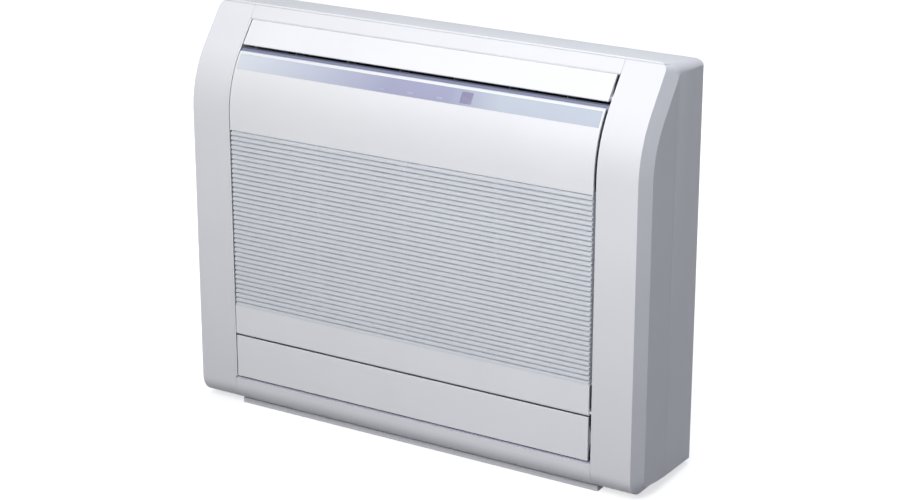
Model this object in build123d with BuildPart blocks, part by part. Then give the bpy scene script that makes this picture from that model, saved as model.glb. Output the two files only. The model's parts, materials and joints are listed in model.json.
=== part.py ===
from build123d import *
import math
import os

# Floor console air conditioner with an upper and a lower air outlet.
# X runs across the front, Y from front (negative) to wall (positive), Z up.
# The origin lies on the floor under the middle of the object. Millimetres.

os.makedirs("parts", exist_ok=True)

# Overall size
WIDTH = 740.0
HEIGHT = 600.0
DEPTH = 200.0
FRONT_Y = -DEPTH / 2
BACK_Y = DEPTH / 2

# Casing section, front to rear
WALL = 2.5
BODY_DEPTH = 174.0
BODY_REAR_Y = FRONT_Y + BODY_DEPTH
SIDE_SEAM_DEPTH = 83.5
SEAM_Y = FRONT_Y + SIDE_SEAM_DEPTH
SHELL_GAP = 0.3
FRONT_ARC_Z = 450.0
FRONT_ARC_R = 150.0
INCLINE = math.radians(38.0)
TOP_FALL = 15.0
CASE_BOTTOM = 8.0
BOTTOM_R = 30.0
RAMP_START_Y = FRONT_Y + 41.0
RAMP_RUN = 18.0

# Casing outline seen from the front and from above
BEVEL_X = 10.5
BEVEL_Y = 21.6
TOP_CORNER_R = 12.0
REAR_TAPER = 4.0
REAR_CORNER_R = 6.0

# Back box and wall bracket
BACK_BOX_DEPTH = 19.0
BACK_BOX_HALF = 348.0
BACK_BOX_LOW = 46.0
BACK_BOX_HIGH = 560.0
BRACKET_THICK = 2.0
BRACKET_HALF = 262.0
BRACKET_LOW = 392.0
BRACKET_HIGH = 540.0
BRACKET_HOLE_R = 3.5
BRACKET_HOLES_X = 450.0
BRACKET_HOLES_Z = 100.0

# Moving front: heights of the edges on the front skin
PANEL_HALF = 294.5
COLUMN_GAP = 4.0
COLUMN_X = PANEL_HALF + COLUMN_GAP
BASE_TOP = 47.5
LOUVER_LOW = 51.5
LOUVER_HIGH = 115.5
GRILLE_LOW = 117.5
SLAT_LOW = 162.5
SLAT_HIGH = 430.0
STRIP_LOW = 517.0
STRIP_HIGH = 536.5
GRILLE_HIGH = 539.5
FLAP_LOW = 548.5
FLAP_HIGH = 579.5
TRIM_LOW = 581.0
TRIM_THICK = 4.7
PANEL_THICK = 3.0
EDGE_R = 0.8

# Grille slats
SLAT_COUNT = 38
SLAT_FACE = 3.5
SLAT_DEPTH = 8.5
SLAT_RISE = 3.4
SLAT_THICK = 1.6
SLAT_END = 1.0
RIB_THICK = 2.0
RIB_FRONT = 3.2
RIB_BACK = 11.0
RIB_COUNT = 5
WEB_THICK = 2.5
RAIL_THICK = 2.5
RAIL_WIDTH = 10.0

# Display strip
STRIP_THICK = 1.0
STRIP_HALF = 291.5
RECEIVER_X = 88.0
RECEIVER_W = 18.0
RECEIVER_H = 14.0
LAMP_PITCH = 47.0
LAMP_W = 9.0
LAMP_H = 2.4
LAMP_Z = 522.0
LENS_CLEAR = 0.1

# Hinges
PIN_CLEAR = 0.2
GRILLE_PIN_R = 2.0
GRILLE_PIN_DEPTH = 4.0
GRILLE_PIN_RISE = 4.0
GRILLE_RAIL_H = 8.0
LOUVER_PIN_R = 2.5
LOUVER_PIN_DEPTH = 12.0
FLAP_PIN_R = 2.2
FLAP_PIN_DEPTH = 8.0
FLAP_PIN_RISE = 8.0
ARM_THICK = 4.0
BOSS_WALL = 2.4
COLUMN_RETURN = 48.0
COLUMN_RETURN_TOP = 34.0
STEPPER_R = 12.5
STEPPER_OFFSET = 8.0
STEPPER_LENGTH = 18.0
STEPPER_BORE_DEPTH = 6.0

# Inner frame and filters
FRAME_INSET = 20.0
FRAME_THICK = 2.5
WINDOW_HALF = 262.0
WINDOW_LOW = 168.0
WINDOW_HIGH = 428.0
FILTER_THICK = 4.0
FILTER_LAP = 6.0
FILTER_RIM = 5.0
FILTER_GAP = 4.0
MESH_THICK = 1.0
CLEANER_W = 120.0
CLEANER_H = 56.0
CLEANER_THICK = 4.0

# Air path
DUCT_HALF = 286.0
END_WALL = 3.0
FLANGE_W = 8.0
SHAFT_HOLE_R = 8.0
SWING_CLEAR = 2.0
FAN_Y = FRONT_Y + 122.0
UPPER_FAN_Z = 478.0
LOWER_FAN_Z = 122.0
FAN_R = 44.0
FAN_HALF = 272.0
FAN_BLADES = 26
FAN_DISCS = 5
DISC_THICK = 2.5
BLADE_CHORD = 11.5
BLADE_CAMBER = 2.6
BLADE_THICK = 1.2
BLADE_LEAN = 38.0
SHAFT_R = 4.0
SHAFT_CLEAR = 0.05
HUB_R = 11.0
HUB_LENGTH = 9.0
SCROLL_R = 56.0
SCROLL_WALL = 2.5
SCROLL_SHIFT_Y = -4.0
SCROLL_SHIFT_Z = 6.0
SCROLL_START = -65.0
TONGUE_GAP = 4.0
TONGUE_SPAN = 28.0
TONGUE_ANGLE = 160.0
UPPER_LIP_DEPTH = 5.5
LOWER_LIP_Y = FRONT_Y + 16.0
LIP_SETBACK = 8.4
LIP_DROP = 1.5

# Evaporator
FIN_HALF = 262.0
LEAF_THICK = 27.0
LEAF_TILT = 8.0
LEAF_LENGTH = 134.0
APEX_Y = FRONT_Y + 29.0
APEX_Z = 297.0
FIN_PITCH = 9.0
FIN_GROOVE = 4.0
FIN_GROOVE_DEPTH = 3.0
SHEET_THICK = 2.0
SHEET_RIM = 1.0
FOOT_W = 12.0
BEND_R = 10.5
TUBE_R = 4.0
TUBES_PER_LEAF = 6

# Fan motors
MOTOR_R = 32.0
MOTOR_LENGTH = 44.0
MOTOR_FLANGE_R = 38.0
MOTOR_FLANGE = 3.0
SHAFT_REACH = 20.0
BEARING_R = 14.0
BEARING_FLANGE_R = 17.0
BEARING_LENGTH = 9.0

# Upper outlet vanes
VANE_COUNT = 6
VANE_PITCH = 88.0
VANE_THICK = 1.6
VANE_CHORD = 24.0
VANE_HEIGHT = 28.0
VANE_SETBACK = 28.0
VANE_PIN_R = 1.4
VANE_FOOT = 1.0
LINK_ARM = 8.5
LINK_RISE = 5.5
LINK_THICK = 1.5
LINK_WIDTH = 9.0
LINK_NOTCH = 9.0
LINK_PIN_R = 0.75
LINK_CLEAR = 0.3
VANE_SWING = math.radians(30.0)

# Pipes and drain
GAS_R = 4.76
LIQUID_R = 3.18
GAS_UNION_R = 7.9
LIQUID_UNION_R = 5.5
UNION_LENGTH = 14.0
UNION_END_Z = 62.0
PIPE_WALL = 0.8
PIPE_BEND_R = 14.0
PIPE_PASS = 1.0
NUT_LENGTH = 9.0
PAN_FRONT_Y = FRONT_Y + 38.0
PAN_REAR_Y = FRONT_Y + 75.0
PAN_WALL = 2.0
PAN_LOW = 132.0
PAN_HIGH = 156.0
SPIGOT_R = 8.0
SPIGOT_WALL = 1.5

# Control box
BOX_HALF_Y = 50.0
BOX_LOW = 190.0
BOX_HIGH = 400.0
BOX_WALL = 1.2
BOX_WIDTH = 58.0
BOARD_THICK = 1.6
BOARD_HALF_Y = 42.0
BOARD_LOW = 250.0
BOARD_HIGH = 390.0
STANDOFF = 8.0
STANDOFF_R = 2.5
TERMINALS = 5
TERMINAL_PITCH = 12.0

# Switch panel behind the grille
SWITCH_X = 245.0
SWITCH_Z = 476.0
SWITCH_W = 54.0
SWITCH_H = 30.0
SWITCH_THICK = 5.0
BUTTON_R = 4.0
BUTTON_TRAVEL = 1.5
BUTTON_PROUD = 3.0
KNOB_W = 5.0
KNOB_H = 4.0
KNOB_TRAVEL = 3.0

# Indicator board, thermistor and frame screws
INDICATOR_Z = 503.0
INDICATOR_W = 150.0
INDICATOR_H = 18.0
INDICATOR_THICK = 2.4
LED_R = 1.5
THERMISTOR_X = 275.0
THERMISTOR_Z = 300.0
BULB_R = 2.2
SCREW_R = 1.6
SCREW_HEAD_R = 3.6
SCREW_HEAD = 2.2
SCREW_ZS = (150.0, 300.0, 440.0)

# Base rail
RAIL_HALF = 300.0
RAIL_FRONT_Y = FRONT_Y + 20.2
RAIL_REAR_Y = BODY_REAR_Y - 12.0
RAIL_WALL = 3.0

# Values worked out from the sizes above
BEVEL_START = WIDTH / 2 - BEVEL_X
BEVEL_EDGE = math.hypot(BEVEL_X, BEVEL_Y)
CASE_REAR_BOTTOM = CASE_BOTTOM + BEVEL_Y
RAMP_ANGLE = math.atan2(BEVEL_Y, RAMP_RUN)
UP = (math.sin(INCLINE), math.cos(INCLINE))
IN = (math.cos(INCLINE), -math.sin(INCLINE))
ARC_END = (
    FRONT_Y + FRONT_ARC_R * (1 - math.cos(INCLINE)),
    FRONT_ARC_Z + FRONT_ARC_R * math.sin(INCLINE),
)


def crossing(p, d, q, e):
    """Point where the line from p along d meets the line from q along e."""
    det = e[0] * d[1] - d[0] * e[1]
    t = (e[0] * (q[1] - p[1]) - e[1] * (q[0] - p[0])) / det
    return (p[0] + d[0] * t, p[1] + d[1] * t)


def incline_point(z, depth):
    """Point under the inclined front skin, below the skin point at height z."""
    along = (z - ARC_END[1]) / UP[1]
    y = ARC_END[0] + UP[0] * along + IN[0] * depth
    return (y, ARC_END[1] + UP[1] * along + IN[1] * depth)


TOP_EDGE = incline_point(HEIGHT, 0)
TOP_RUN = (BODY_REAR_Y - TOP_EDGE[0], -TOP_FALL)
TOP_SLOPE = math.atan2(TOP_FALL, TOP_RUN[0])


def top_height(y, inset=0.0):
    """Height of the sloping top at y, less an inset square to it."""
    return HEIGHT - (y - TOP_EDGE[0]) * math.tan(TOP_SLOPE) - inset / math.cos(TOP_SLOPE)


def polar(centre, radius, degrees):
    """Point at a radius and angle about a centre."""
    a = math.radians(degrees)
    return (centre[0] + radius * math.cos(a), centre[1] + radius * math.sin(a))


def save(piece, name):
    """Label a finished piece and write it to its own file."""
    piece.part.label = name
    export_step(piece.part, f"parts/{name}.step")


def outline_face(front, inset):
    """Casing section in the YZ plane, set in by front at the front skin and by inset elsewhere."""
    arc = (FRONT_Y + FRONT_ARC_R, FRONT_ARC_Z)
    radius = FRONT_ARC_R - front
    low_arc = (FRONT_Y + BOTTOM_R, CASE_BOTTOM + BOTTOM_R)
    low_radius = BOTTOM_R - front
    ramp_shift = inset * math.tan(RAMP_ANGLE / 2)
    arc_start = (FRONT_Y + front, FRONT_ARC_Z)
    arc_middle = polar(arc, radius, 180 - math.degrees(INCLINE) / 2)
    arc_end = polar(arc, radius, 180 - math.degrees(INCLINE))
    top_front = crossing(arc_end, UP, (TOP_EDGE[0], top_height(TOP_EDGE[0], inset)), TOP_RUN)
    top_rear = (BODY_REAR_Y - inset, top_height(BODY_REAR_Y - inset, inset))
    rear_low = (BODY_REAR_Y - inset, CASE_REAR_BOTTOM + inset)
    ramp_high = (RAMP_START_Y + RAMP_RUN - ramp_shift, CASE_REAR_BOTTOM + inset)
    ramp_low = (RAMP_START_Y - ramp_shift, CASE_BOTTOM + front)
    low_end = (low_arc[0], CASE_BOTTOM + front)
    low_middle = polar(low_arc, low_radius, 225)
    low_start = (FRONT_Y + front, low_arc[1])
    with BuildSketch() as face:
        with BuildLine():
            Line(low_start, arc_start)
            ThreePointArc(arc_start, arc_middle, arc_end)
            Polyline(arc_end, top_front, top_rear, rear_low, ramp_high, ramp_low, low_end)
            ThreePointArc(low_end, low_middle, low_start)
        make_face()
    return face.sketch


def front_skin(outer, inner, low, high):
    """Front skin section between two depths and two heights, in the YZ plane."""
    with BuildSketch() as face:
        add(outline_face(outer, 0))
        add(outline_face(inner, -WALL), mode=Mode.SUBTRACT)
        with Locations((FRONT_Y / 2, (low + high) / 2)):
            Rectangle(-FRONT_Y + 2 * WALL, high - low, mode=Mode.INTERSECT)
    return face.sketch


def casing_block(inset):
    """Whole casing as one block with bevelled ends, set in by inset on every face."""
    start = BEVEL_START - inset * (BEVEL_EDGE - BEVEL_X) / BEVEL_Y
    end = WIDTH / 2 - inset
    end_depth = BEVEL_Y + inset * (BEVEL_EDGE - BEVEL_Y) / BEVEL_X
    top_plane = Plane(
        origin=(0, TOP_EDGE[0], HEIGHT),
        x_dir=(1, 0, 0),
        z_dir=(0, -math.cos(TOP_SLOPE), math.sin(TOP_SLOPE)),
    )
    with BuildPart() as block:
        with BuildSketch(Plane.YZ.offset(-start)):
            add(outline_face(inset, inset))
        extrude(amount=2 * start)
        for side in (-1, 1):
            with BuildSketch(Plane.YZ.offset(side * start)):
                add(outline_face(inset, inset))
            with BuildSketch(Plane.YZ.offset(side * end)):
                add(outline_face(end_depth, inset))
            loft(ruled=True)
        with BuildSketch(top_plane) as rounded_top:
            with Locations((0, -inset)):
                Rectangle(2 * end, 2 * HEIGHT, align=(Align.CENTER, Align.MAX))
            fillet(rounded_top.vertices().group_by(Axis.Y)[-1], TOP_CORNER_R - inset)
        extrude(amount=DEPTH, both=True, mode=Mode.INTERSECT)
        with BuildSketch(Plane.XY) as plan:
            with BuildLine():
                Polyline(
                    (-end, FRONT_Y),
                    (end, FRONT_Y),
                    (end, SEAM_Y),
                    (end - REAR_TAPER, BODY_REAR_Y - inset),
                    (REAR_TAPER - end, BODY_REAR_Y - inset),
                    (-end, SEAM_Y),
                    close=True,
                )
            make_face()
            fillet(plan.vertices().group_by(Axis.Y)[-1], REAR_CORNER_R - inset)
        extrude(amount=HEIGHT, mode=Mode.INTERSECT)
    return block.part


with BuildPart() as casing_shell:
    add(casing_block(0))
    add(casing_block(WALL), mode=Mode.SUBTRACT)


def front_region(gap):
    """Section of what stands in front of the side seam and under the top wall."""
    seam = SEAM_Y - gap
    with BuildSketch() as region:
        with BuildLine():
            Polyline(
                (FRONT_Y - WALL, -WALL),
                (seam, -WALL),
                (seam, top_height(seam, WALL + gap)),
                (FRONT_Y - WALL, top_height(FRONT_Y - WALL, WALL + gap)),
                close=True,
            )
        make_face()
    return region.sketch


def return_face():
    """Section of the column's inner wall, a band behind the front skin."""
    edge_y = FRONT_Y + COLUMN_RETURN
    deep = incline_point(HEIGHT + 2 * COLUMN_RETURN_TOP, COLUMN_RETURN_TOP)
    knee = crossing((edge_y, 0), (0, 1), deep, UP)
    with BuildSketch() as band:
        add(outline_face(0, 0))
        with BuildLine():
            Polyline(
                (edge_y, -WALL),
                knee,
                deep,
                (BACK_Y, deep[1]),
                (BACK_Y, -WALL),
                close=True,
            )
        make_face(mode=Mode.SUBTRACT)
        add(front_region(SHELL_GAP), mode=Mode.INTERSECT)
    return band.sketch


# Hinge lines
GRILLE_PIN = (FRONT_Y + GRILLE_PIN_DEPTH, GRILLE_LOW + GRILLE_PIN_RISE)
LOUVER_PIN = (FRONT_Y + LOUVER_PIN_DEPTH, (LOUVER_LOW + LOUVER_HIGH) / 2)
FLAP_PIN = incline_point(FLAP_LOW + FLAP_PIN_RISE * UP[1], FLAP_PIN_DEPTH)
PIN_HOLES = (
    (GRILLE_PIN, GRILLE_PIN_R + PIN_CLEAR),
    (LOUVER_PIN, LOUVER_PIN_R + PIN_CLEAR),
    (FLAP_PIN, FLAP_PIN_R + PIN_CLEAR),
)


def side_cover(side):
    """Front column on one side: skin, bevel, bottom and inner wall with its hinge holes."""
    low_x = COLUMN_X if side > 0 else -WIDTH / 2
    with BuildPart() as cover:
        add(casing_shell.part)
        with BuildSketch(Plane.YZ.offset(low_x)):
            add(front_region(SHELL_GAP))
        extrude(amount=WIDTH / 2 - COLUMN_X, mode=Mode.INTERSECT)
        with BuildSketch(Plane.YZ.offset(side * COLUMN_X)):
            add(return_face())
        extrude(amount=side * WALL)
        for centre, radius in PIN_HOLES:
            with BuildSketch(Plane.YZ.offset(side * COLUMN_X)):
                with Locations(centre):
                    Circle(radius)
            extrude(amount=side * WALL, mode=Mode.SUBTRACT)
    return cover


left_side_cover = side_cover(-1)
save(left_side_cover, "left_side_cover")
right_side_cover = side_cover(1)
save(right_side_cover, "right_side_cover")

# Rear shell: sides behind the seam, top, bottom, back wall and the narrower back box
PIPE_X = -BEVEL_START + 26.0
PIPE_SPACING = 22.0
PIPE_Y = BODY_REAR_Y - 26.0
PIPE_HOLE_W = 44.0
PIPE_HOLE_D = 72.0
with BuildPart() as rear_case:
    add(casing_shell.part)
    with BuildSketch(Plane.YZ.offset(-WIDTH / 2)):
        add(front_region(0))
    extrude(amount=WIDTH, mode=Mode.SUBTRACT)
    with BuildSketch(Plane.XZ.offset(-BODY_REAR_Y)) as back_outline:
        with Locations((0, (BACK_BOX_LOW + BACK_BOX_HIGH) / 2)):
            RectangleRounded(2 * BACK_BOX_HALF, BACK_BOX_HIGH - BACK_BOX_LOW, REAR_CORNER_R)
    extrude(amount=-BACK_BOX_DEPTH)
    with BuildSketch(Plane.XZ.offset(WALL - BODY_REAR_Y)) as back_hollow:
        add(back_outline.sketch_local)
        offset(amount=-WALL, mode=Mode.REPLACE)
    extrude(amount=-BACK_BOX_DEPTH, mode=Mode.SUBTRACT)
    with BuildSketch(Plane.XY.offset(CASE_REAR_BOTTOM)):
        with Locations((PIPE_X, PIPE_Y - PIPE_SPACING)):
            RectangleRounded(PIPE_HOLE_W, PIPE_HOLE_D, REAR_CORNER_R)
    extrude(amount=WALL, mode=Mode.SUBTRACT)
save(rear_case, "rear_case")

# Fixed inclined strip above the upper flap
with BuildPart() as upper_trim:
    with BuildSketch(Plane.YZ.offset(SHELL_GAP - COLUMN_X)):
        with BuildLine():
            Polyline(
                incline_point(TRIM_LOW, 0),
                incline_point(HEIGHT, 0),
                incline_point(HEIGHT, TRIM_THICK),
                incline_point(TRIM_LOW, TRIM_THICK),
                close=True,
            )
        make_face()
        add(front_region(SHELL_GAP), mode=Mode.INTERSECT)
    extrude(amount=2 * (COLUMN_X - SHELL_GAP))
save(upper_trim, "upper_trim")

# Panel under the lower louver, with the rounded bottom and the ramp behind it
with BuildPart() as base_panel:
    with BuildSketch(Plane.YZ.offset(SHELL_GAP - COLUMN_X)):
        add(outline_face(0, 0))
        add(outline_face(WALL, WALL), mode=Mode.SUBTRACT)
        with Locations(((FRONT_Y + SEAM_Y - SHELL_GAP) / 2, BASE_TOP / 2)):
            Rectangle(SIDE_SEAM_DEPTH - SHELL_GAP, BASE_TOP, mode=Mode.INTERSECT)
    extrude(amount=2 * (COLUMN_X - SHELL_GAP))
save(base_panel, "base_panel")

# Base rail that the casing stands on
with BuildPart() as base_rail:
    with BuildSketch(Plane.YZ.offset(-RAIL_HALF)):
        with BuildLine():
            Polyline(
                (RAIL_FRONT_Y, 0),
                (RAIL_REAR_Y, 0),
                (RAIL_REAR_Y, CASE_REAR_BOTTOM),
                (RAMP_START_Y + RAMP_RUN, CASE_REAR_BOTTOM),
                (RAMP_START_Y, CASE_BOTTOM),
                (RAIL_FRONT_Y, CASE_BOTTOM),
                close=True,
            )
        make_face()
    extrude(amount=2 * RAIL_HALF)
    with BuildSketch(Plane.XY.offset(RAIL_WALL)):
        with Locations((0, (RAIL_FRONT_Y + RAIL_REAR_Y) / 2)):
            Rectangle(
                2 * (RAIL_HALF - RAIL_WALL),
                RAIL_REAR_Y - RAIL_FRONT_Y - 2 * RAIL_WALL,
            )
    extrude(amount=CASE_REAR_BOTTOM, mode=Mode.SUBTRACT)
save(base_rail, "base_rail")

# Wall bracket: steel plate with four screw holes and two folded hooks
BRACKET_PAD_X = 200.0
BRACKET_PAD_W = 40.0
BRACKET_PAD_H = 24.0
BRACKET_Z = (BRACKET_LOW + BRACKET_HIGH) / 2
with BuildPart() as wall_bracket:
    with BuildSketch(Plane.XZ.offset(-BACK_Y)):
        with Locations((0, BRACKET_Z)):
            RectangleRounded(2 * BRACKET_HALF, BRACKET_HIGH - BRACKET_LOW, REAR_CORNER_R)
        with Locations((0, BRACKET_Z)):
            with GridLocations(BRACKET_HOLES_X, BRACKET_HOLES_Z, 2, 2):
                Circle(BRACKET_HOLE_R, mode=Mode.SUBTRACT)
    extrude(amount=BRACKET_THICK)
    with BuildSketch(Plane.XZ.offset(BRACKET_THICK - BACK_Y)):
        with Locations((0, BRACKET_Z)):
            with GridLocations(BRACKET_PAD_X, BRACKET_HOLES_Z, 2, 2):
                Rectangle(BRACKET_PAD_W, BRACKET_PAD_H)
    extrude(amount=BACK_Y - BRACKET_THICK - BODY_REAR_Y - BACK_BOX_DEPTH)
save(wall_bracket, "wall_bracket")

# Intake grille panel: curved skin above and below the slats, webs, rails and hinge pins
with BuildPart() as grille_panel:
    with BuildSketch(Plane.YZ.offset(-PANEL_HALF)):
        add(front_skin(0, PANEL_THICK, SLAT_HIGH, GRILLE_HIGH))
        add(front_skin(0, PANEL_THICK, GRILLE_LOW, SLAT_LOW))
        add(front_skin(0, RIB_BACK + RAIL_THICK, SLAT_HIGH, SLAT_HIGH + WEB_THICK))
        add(front_skin(0, RIB_BACK + RAIL_THICK, SLAT_LOW - WEB_THICK, SLAT_LOW))
        add(front_skin(0, GRILLE_RAIL_H, GRILLE_LOW, GRILLE_LOW + GRILLE_RAIL_H))
    extrude(amount=2 * PANEL_HALF)
    with BuildSketch(Plane.YZ.offset(-STRIP_HALF)):
        add(front_skin(0, STRIP_THICK, STRIP_LOW, STRIP_HIGH))
    extrude(amount=2 * STRIP_HALF, mode=Mode.SUBTRACT)
    for side in (-1, 1):
        with BuildSketch(Plane.YZ.offset(side * (PANEL_HALF - SLAT_END))):
            add(front_skin(RIB_BACK, RIB_BACK + RAIL_THICK, SLAT_LOW, SLAT_HIGH))
        extrude(amount=-side * RAIL_WIDTH)
        with BuildSketch(Plane.YZ.offset(side * PANEL_HALF)):
            with Locations(GRILLE_PIN):
                Circle(GRILLE_PIN_R)
        extrude(amount=side * (COLUMN_GAP + WALL))
    fillet(
        grille_panel.edges().filter_by(Axis.X).group_by(Axis.Z)[0].sort_by(Axis.Y)[0],
        GRILLE_PIN_DEPTH - GRILLE_PIN_R + EDGE_R,
    )
save(grille_panel, "grille_panel")

# Slats: thin blades that rise towards the back, joined by upright ribs
SLAT_PITCH = (SLAT_HIGH - SLAT_LOW) / SLAT_COUNT
SLAT_HALF = PANEL_HALF - SLAT_END
RIB_SPACING = (2 * SLAT_HALF - RIB_THICK) / (RIB_COUNT - 1)


def slat_face():
    """Section of one slat, from its lower front edge."""
    with BuildSketch() as blade:
        with BuildLine():
            Polyline(
                (0, 0),
                (0, SLAT_FACE),
                (SLAT_DEPTH, SLAT_FACE + SLAT_RISE),
                (SLAT_DEPTH, SLAT_FACE + SLAT_RISE - SLAT_THICK),
                (SLAT_THICK, 0),
                close=True,
            )
        make_face()
    return blade.sketch


with BuildPart() as grille_slats:
    with BuildSketch(Plane.YZ.offset(-SLAT_HALF)):
        with Locations([(FRONT_Y, SLAT_LOW + i * SLAT_PITCH) for i in range(SLAT_COUNT)]):
            add(slat_face())
    extrude(amount=2 * SLAT_HALF)
    for i in range(RIB_COUNT):
        with BuildSketch(Plane.YZ.offset(-SLAT_HALF + i * RIB_SPACING)):
            with Locations((FRONT_Y + (RIB_FRONT + RIB_BACK) / 2, (SLAT_LOW + SLAT_HIGH) / 2)):
                Rectangle(RIB_BACK - RIB_FRONT, SLAT_HIGH - SLAT_LOW)
        extrude(amount=RIB_THICK)
save(grille_slats, "grille_slats")


def window_face(x, z, width, height, clear):
    """Front outline of a strip window, with its clearance."""
    with BuildSketch() as window:
        with Locations((x, z)):
            RectangleRounded(width + 2 * clear, height + 2 * clear, EDGE_R + clear)
    return window.sketch


STRIP_Z = (STRIP_LOW + STRIP_HIGH) / 2
STRIP_PLANE = Plane.XZ.offset(-FRONT_Y)

# Silver display strip, let into the panel, with openings for the receiver and lamps
with BuildPart() as display_strip:
    with BuildSketch(Plane.YZ.offset(LENS_CLEAR - STRIP_HALF)):
        add(front_skin(0, STRIP_THICK, STRIP_LOW + LENS_CLEAR, STRIP_HIGH - LENS_CLEAR))
    extrude(amount=2 * (STRIP_HALF - LENS_CLEAR))
    with BuildSketch(STRIP_PLANE):
        add(window_face(RECEIVER_X, STRIP_Z, RECEIVER_W, RECEIVER_H, LENS_CLEAR))
        for i in (-1, 0, 1):
            add(window_face(i * LAMP_PITCH, LAMP_Z, LAMP_W, LAMP_H, LENS_CLEAR))
    extrude(amount=-DEPTH / 2, mode=Mode.SUBTRACT)
save(display_strip, "display_strip")

# Violet receiver window, flush in the strip
with BuildPart() as receiver_window:
    with BuildSketch(Plane.YZ.offset(-STRIP_HALF)):
        add(front_skin(0, STRIP_THICK, STRIP_LOW, STRIP_HIGH))
    extrude(amount=2 * STRIP_HALF)
    with BuildSketch(STRIP_PLANE):
        add(window_face(RECEIVER_X, STRIP_Z, RECEIVER_W, RECEIVER_H, 0))
    extrude(amount=-DEPTH / 2, mode=Mode.INTERSECT)
save(receiver_window, "receiver_window")

# Three lamp lenses, flush in the strip
with BuildPart() as lamp_lenses:
    with BuildSketch(Plane.YZ.offset(-STRIP_HALF)):
        add(front_skin(0, STRIP_THICK, STRIP_LOW, STRIP_HIGH))
    extrude(amount=2 * STRIP_HALF)
    with BuildSketch(STRIP_PLANE):
        for i in (-1, 0, 1):
            add(window_face(i * LAMP_PITCH, LAMP_Z, LAMP_W, LAMP_H, 0))
    extrude(amount=-DEPTH / 2, mode=Mode.INTERSECT)
save(lamp_lenses, "lamp_lenses")


def arm_face(pin, root_low, root_high, boss_r):
    """Section of a hinge arm that runs from two points under a plate to a round boss."""
    with BuildSketch() as arm:
        with BuildLine():
            Polyline(root_low, root_high, pin, close=True)
        make_face()
        with Locations(pin):
            Circle(boss_r)
    return arm.sketch


# Upper outlet flap with an arm and a hinge pin at each end
with BuildPart() as upper_flap:
    with BuildSketch(Plane.YZ.offset(SLAT_END / 2 - PANEL_HALF)) as flap_section:
        with BuildLine():
            Polyline(
                incline_point(FLAP_LOW, 0),
                incline_point(FLAP_HIGH, 0),
                incline_point(FLAP_HIGH, PANEL_THICK),
                incline_point(FLAP_LOW, PANEL_THICK),
                close=True,
            )
        make_face()
        fillet(flap_section.vertices(), EDGE_R)
    extrude(amount=2 * PANEL_HALF - SLAT_END)
    for side in (-1, 1):
        end_x = side * (PANEL_HALF - SLAT_END / 2)
        with BuildSketch(Plane.YZ.offset(end_x)):
            add(
                arm_face(
                    FLAP_PIN,
                    incline_point(FLAP_LOW + EDGE_R, PANEL_THICK / 2),
                    incline_point(FLAP_LOW + 3 * FLAP_PIN_RISE, PANEL_THICK / 2),
                    FLAP_PIN_R + BOSS_WALL,
                )
            )
        extrude(amount=-side * ARM_THICK)
        with BuildSketch(Plane.YZ.offset(end_x)):
            with Locations(FLAP_PIN):
                Circle(FLAP_PIN_R)
        extrude(amount=side * (COLUMN_GAP + WALL + STEPPER_BORE_DEPTH / 2))
save(upper_flap, "upper_flap")

# Lower outlet louver, hinged at mid height
with BuildPart() as lower_louver:
    with BuildSketch(Plane.YZ.offset(SLAT_END / 2 - PANEL_HALF)):
        with Locations((FRONT_Y + PANEL_THICK / 2, LOUVER_PIN[1])):
            RectangleRounded(PANEL_THICK, LOUVER_HIGH - LOUVER_LOW, EDGE_R)
    extrude(amount=2 * PANEL_HALF - SLAT_END)
    for side in (-1, 1):
        end_x = side * (PANEL_HALF - SLAT_END / 2)
        with BuildSketch(Plane.YZ.offset(end_x)):
            add(
                arm_face(
                    LOUVER_PIN,
                    (FRONT_Y + PANEL_THICK / 2, LOUVER_PIN[1] - 2 * LOUVER_PIN_DEPTH),
                    (FRONT_Y + PANEL_THICK / 2, LOUVER_PIN[1] + 2 * LOUVER_PIN_DEPTH),
                    LOUVER_PIN_R + BOSS_WALL,
                )
            )
        extrude(amount=-side * ARM_THICK)
        with BuildSketch(Plane.YZ.offset(end_x)):
            with Locations(LOUVER_PIN):
                Circle(LOUVER_PIN_R)
        extrude(amount=side * (COLUMN_GAP + WALL + STEPPER_BORE_DEPTH / 2))
save(lower_louver, "lower_louver")


def stepper(pin, pin_r):
    """Small geared motor on the right column's inner wall, its hub around a hinge pin."""
    face_x = COLUMN_X + WALL
    body = (pin[0] + IN[0] * STEPPER_OFFSET, pin[1] + IN[1] * STEPPER_OFFSET)
    with BuildPart() as motor:
        with BuildSketch(Plane.YZ.offset(face_x)):
            with Locations(body):
                Circle(STEPPER_R)
        extrude(amount=STEPPER_LENGTH)
        with BuildSketch(Plane.YZ.offset(face_x)):
            with Locations(body):
                with Locations((0, STEPPER_R), (0, -STEPPER_R)):
                    Circle(BOSS_WALL)
        extrude(amount=WALL)
        with BuildSketch(Plane.YZ.offset(face_x)):
            with Locations(pin):
                Circle(pin_r + PIN_CLEAR)
        extrude(amount=STEPPER_BORE_DEPTH, mode=Mode.SUBTRACT)
    return motor


upper_flap_motor = stepper(FLAP_PIN, FLAP_PIN_R)
save(upper_flap_motor, "upper_flap_motor")
lower_louver_motor = stepper(LOUVER_PIN, LOUVER_PIN_R)
save(lower_louver_motor, "lower_louver_motor")

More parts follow.
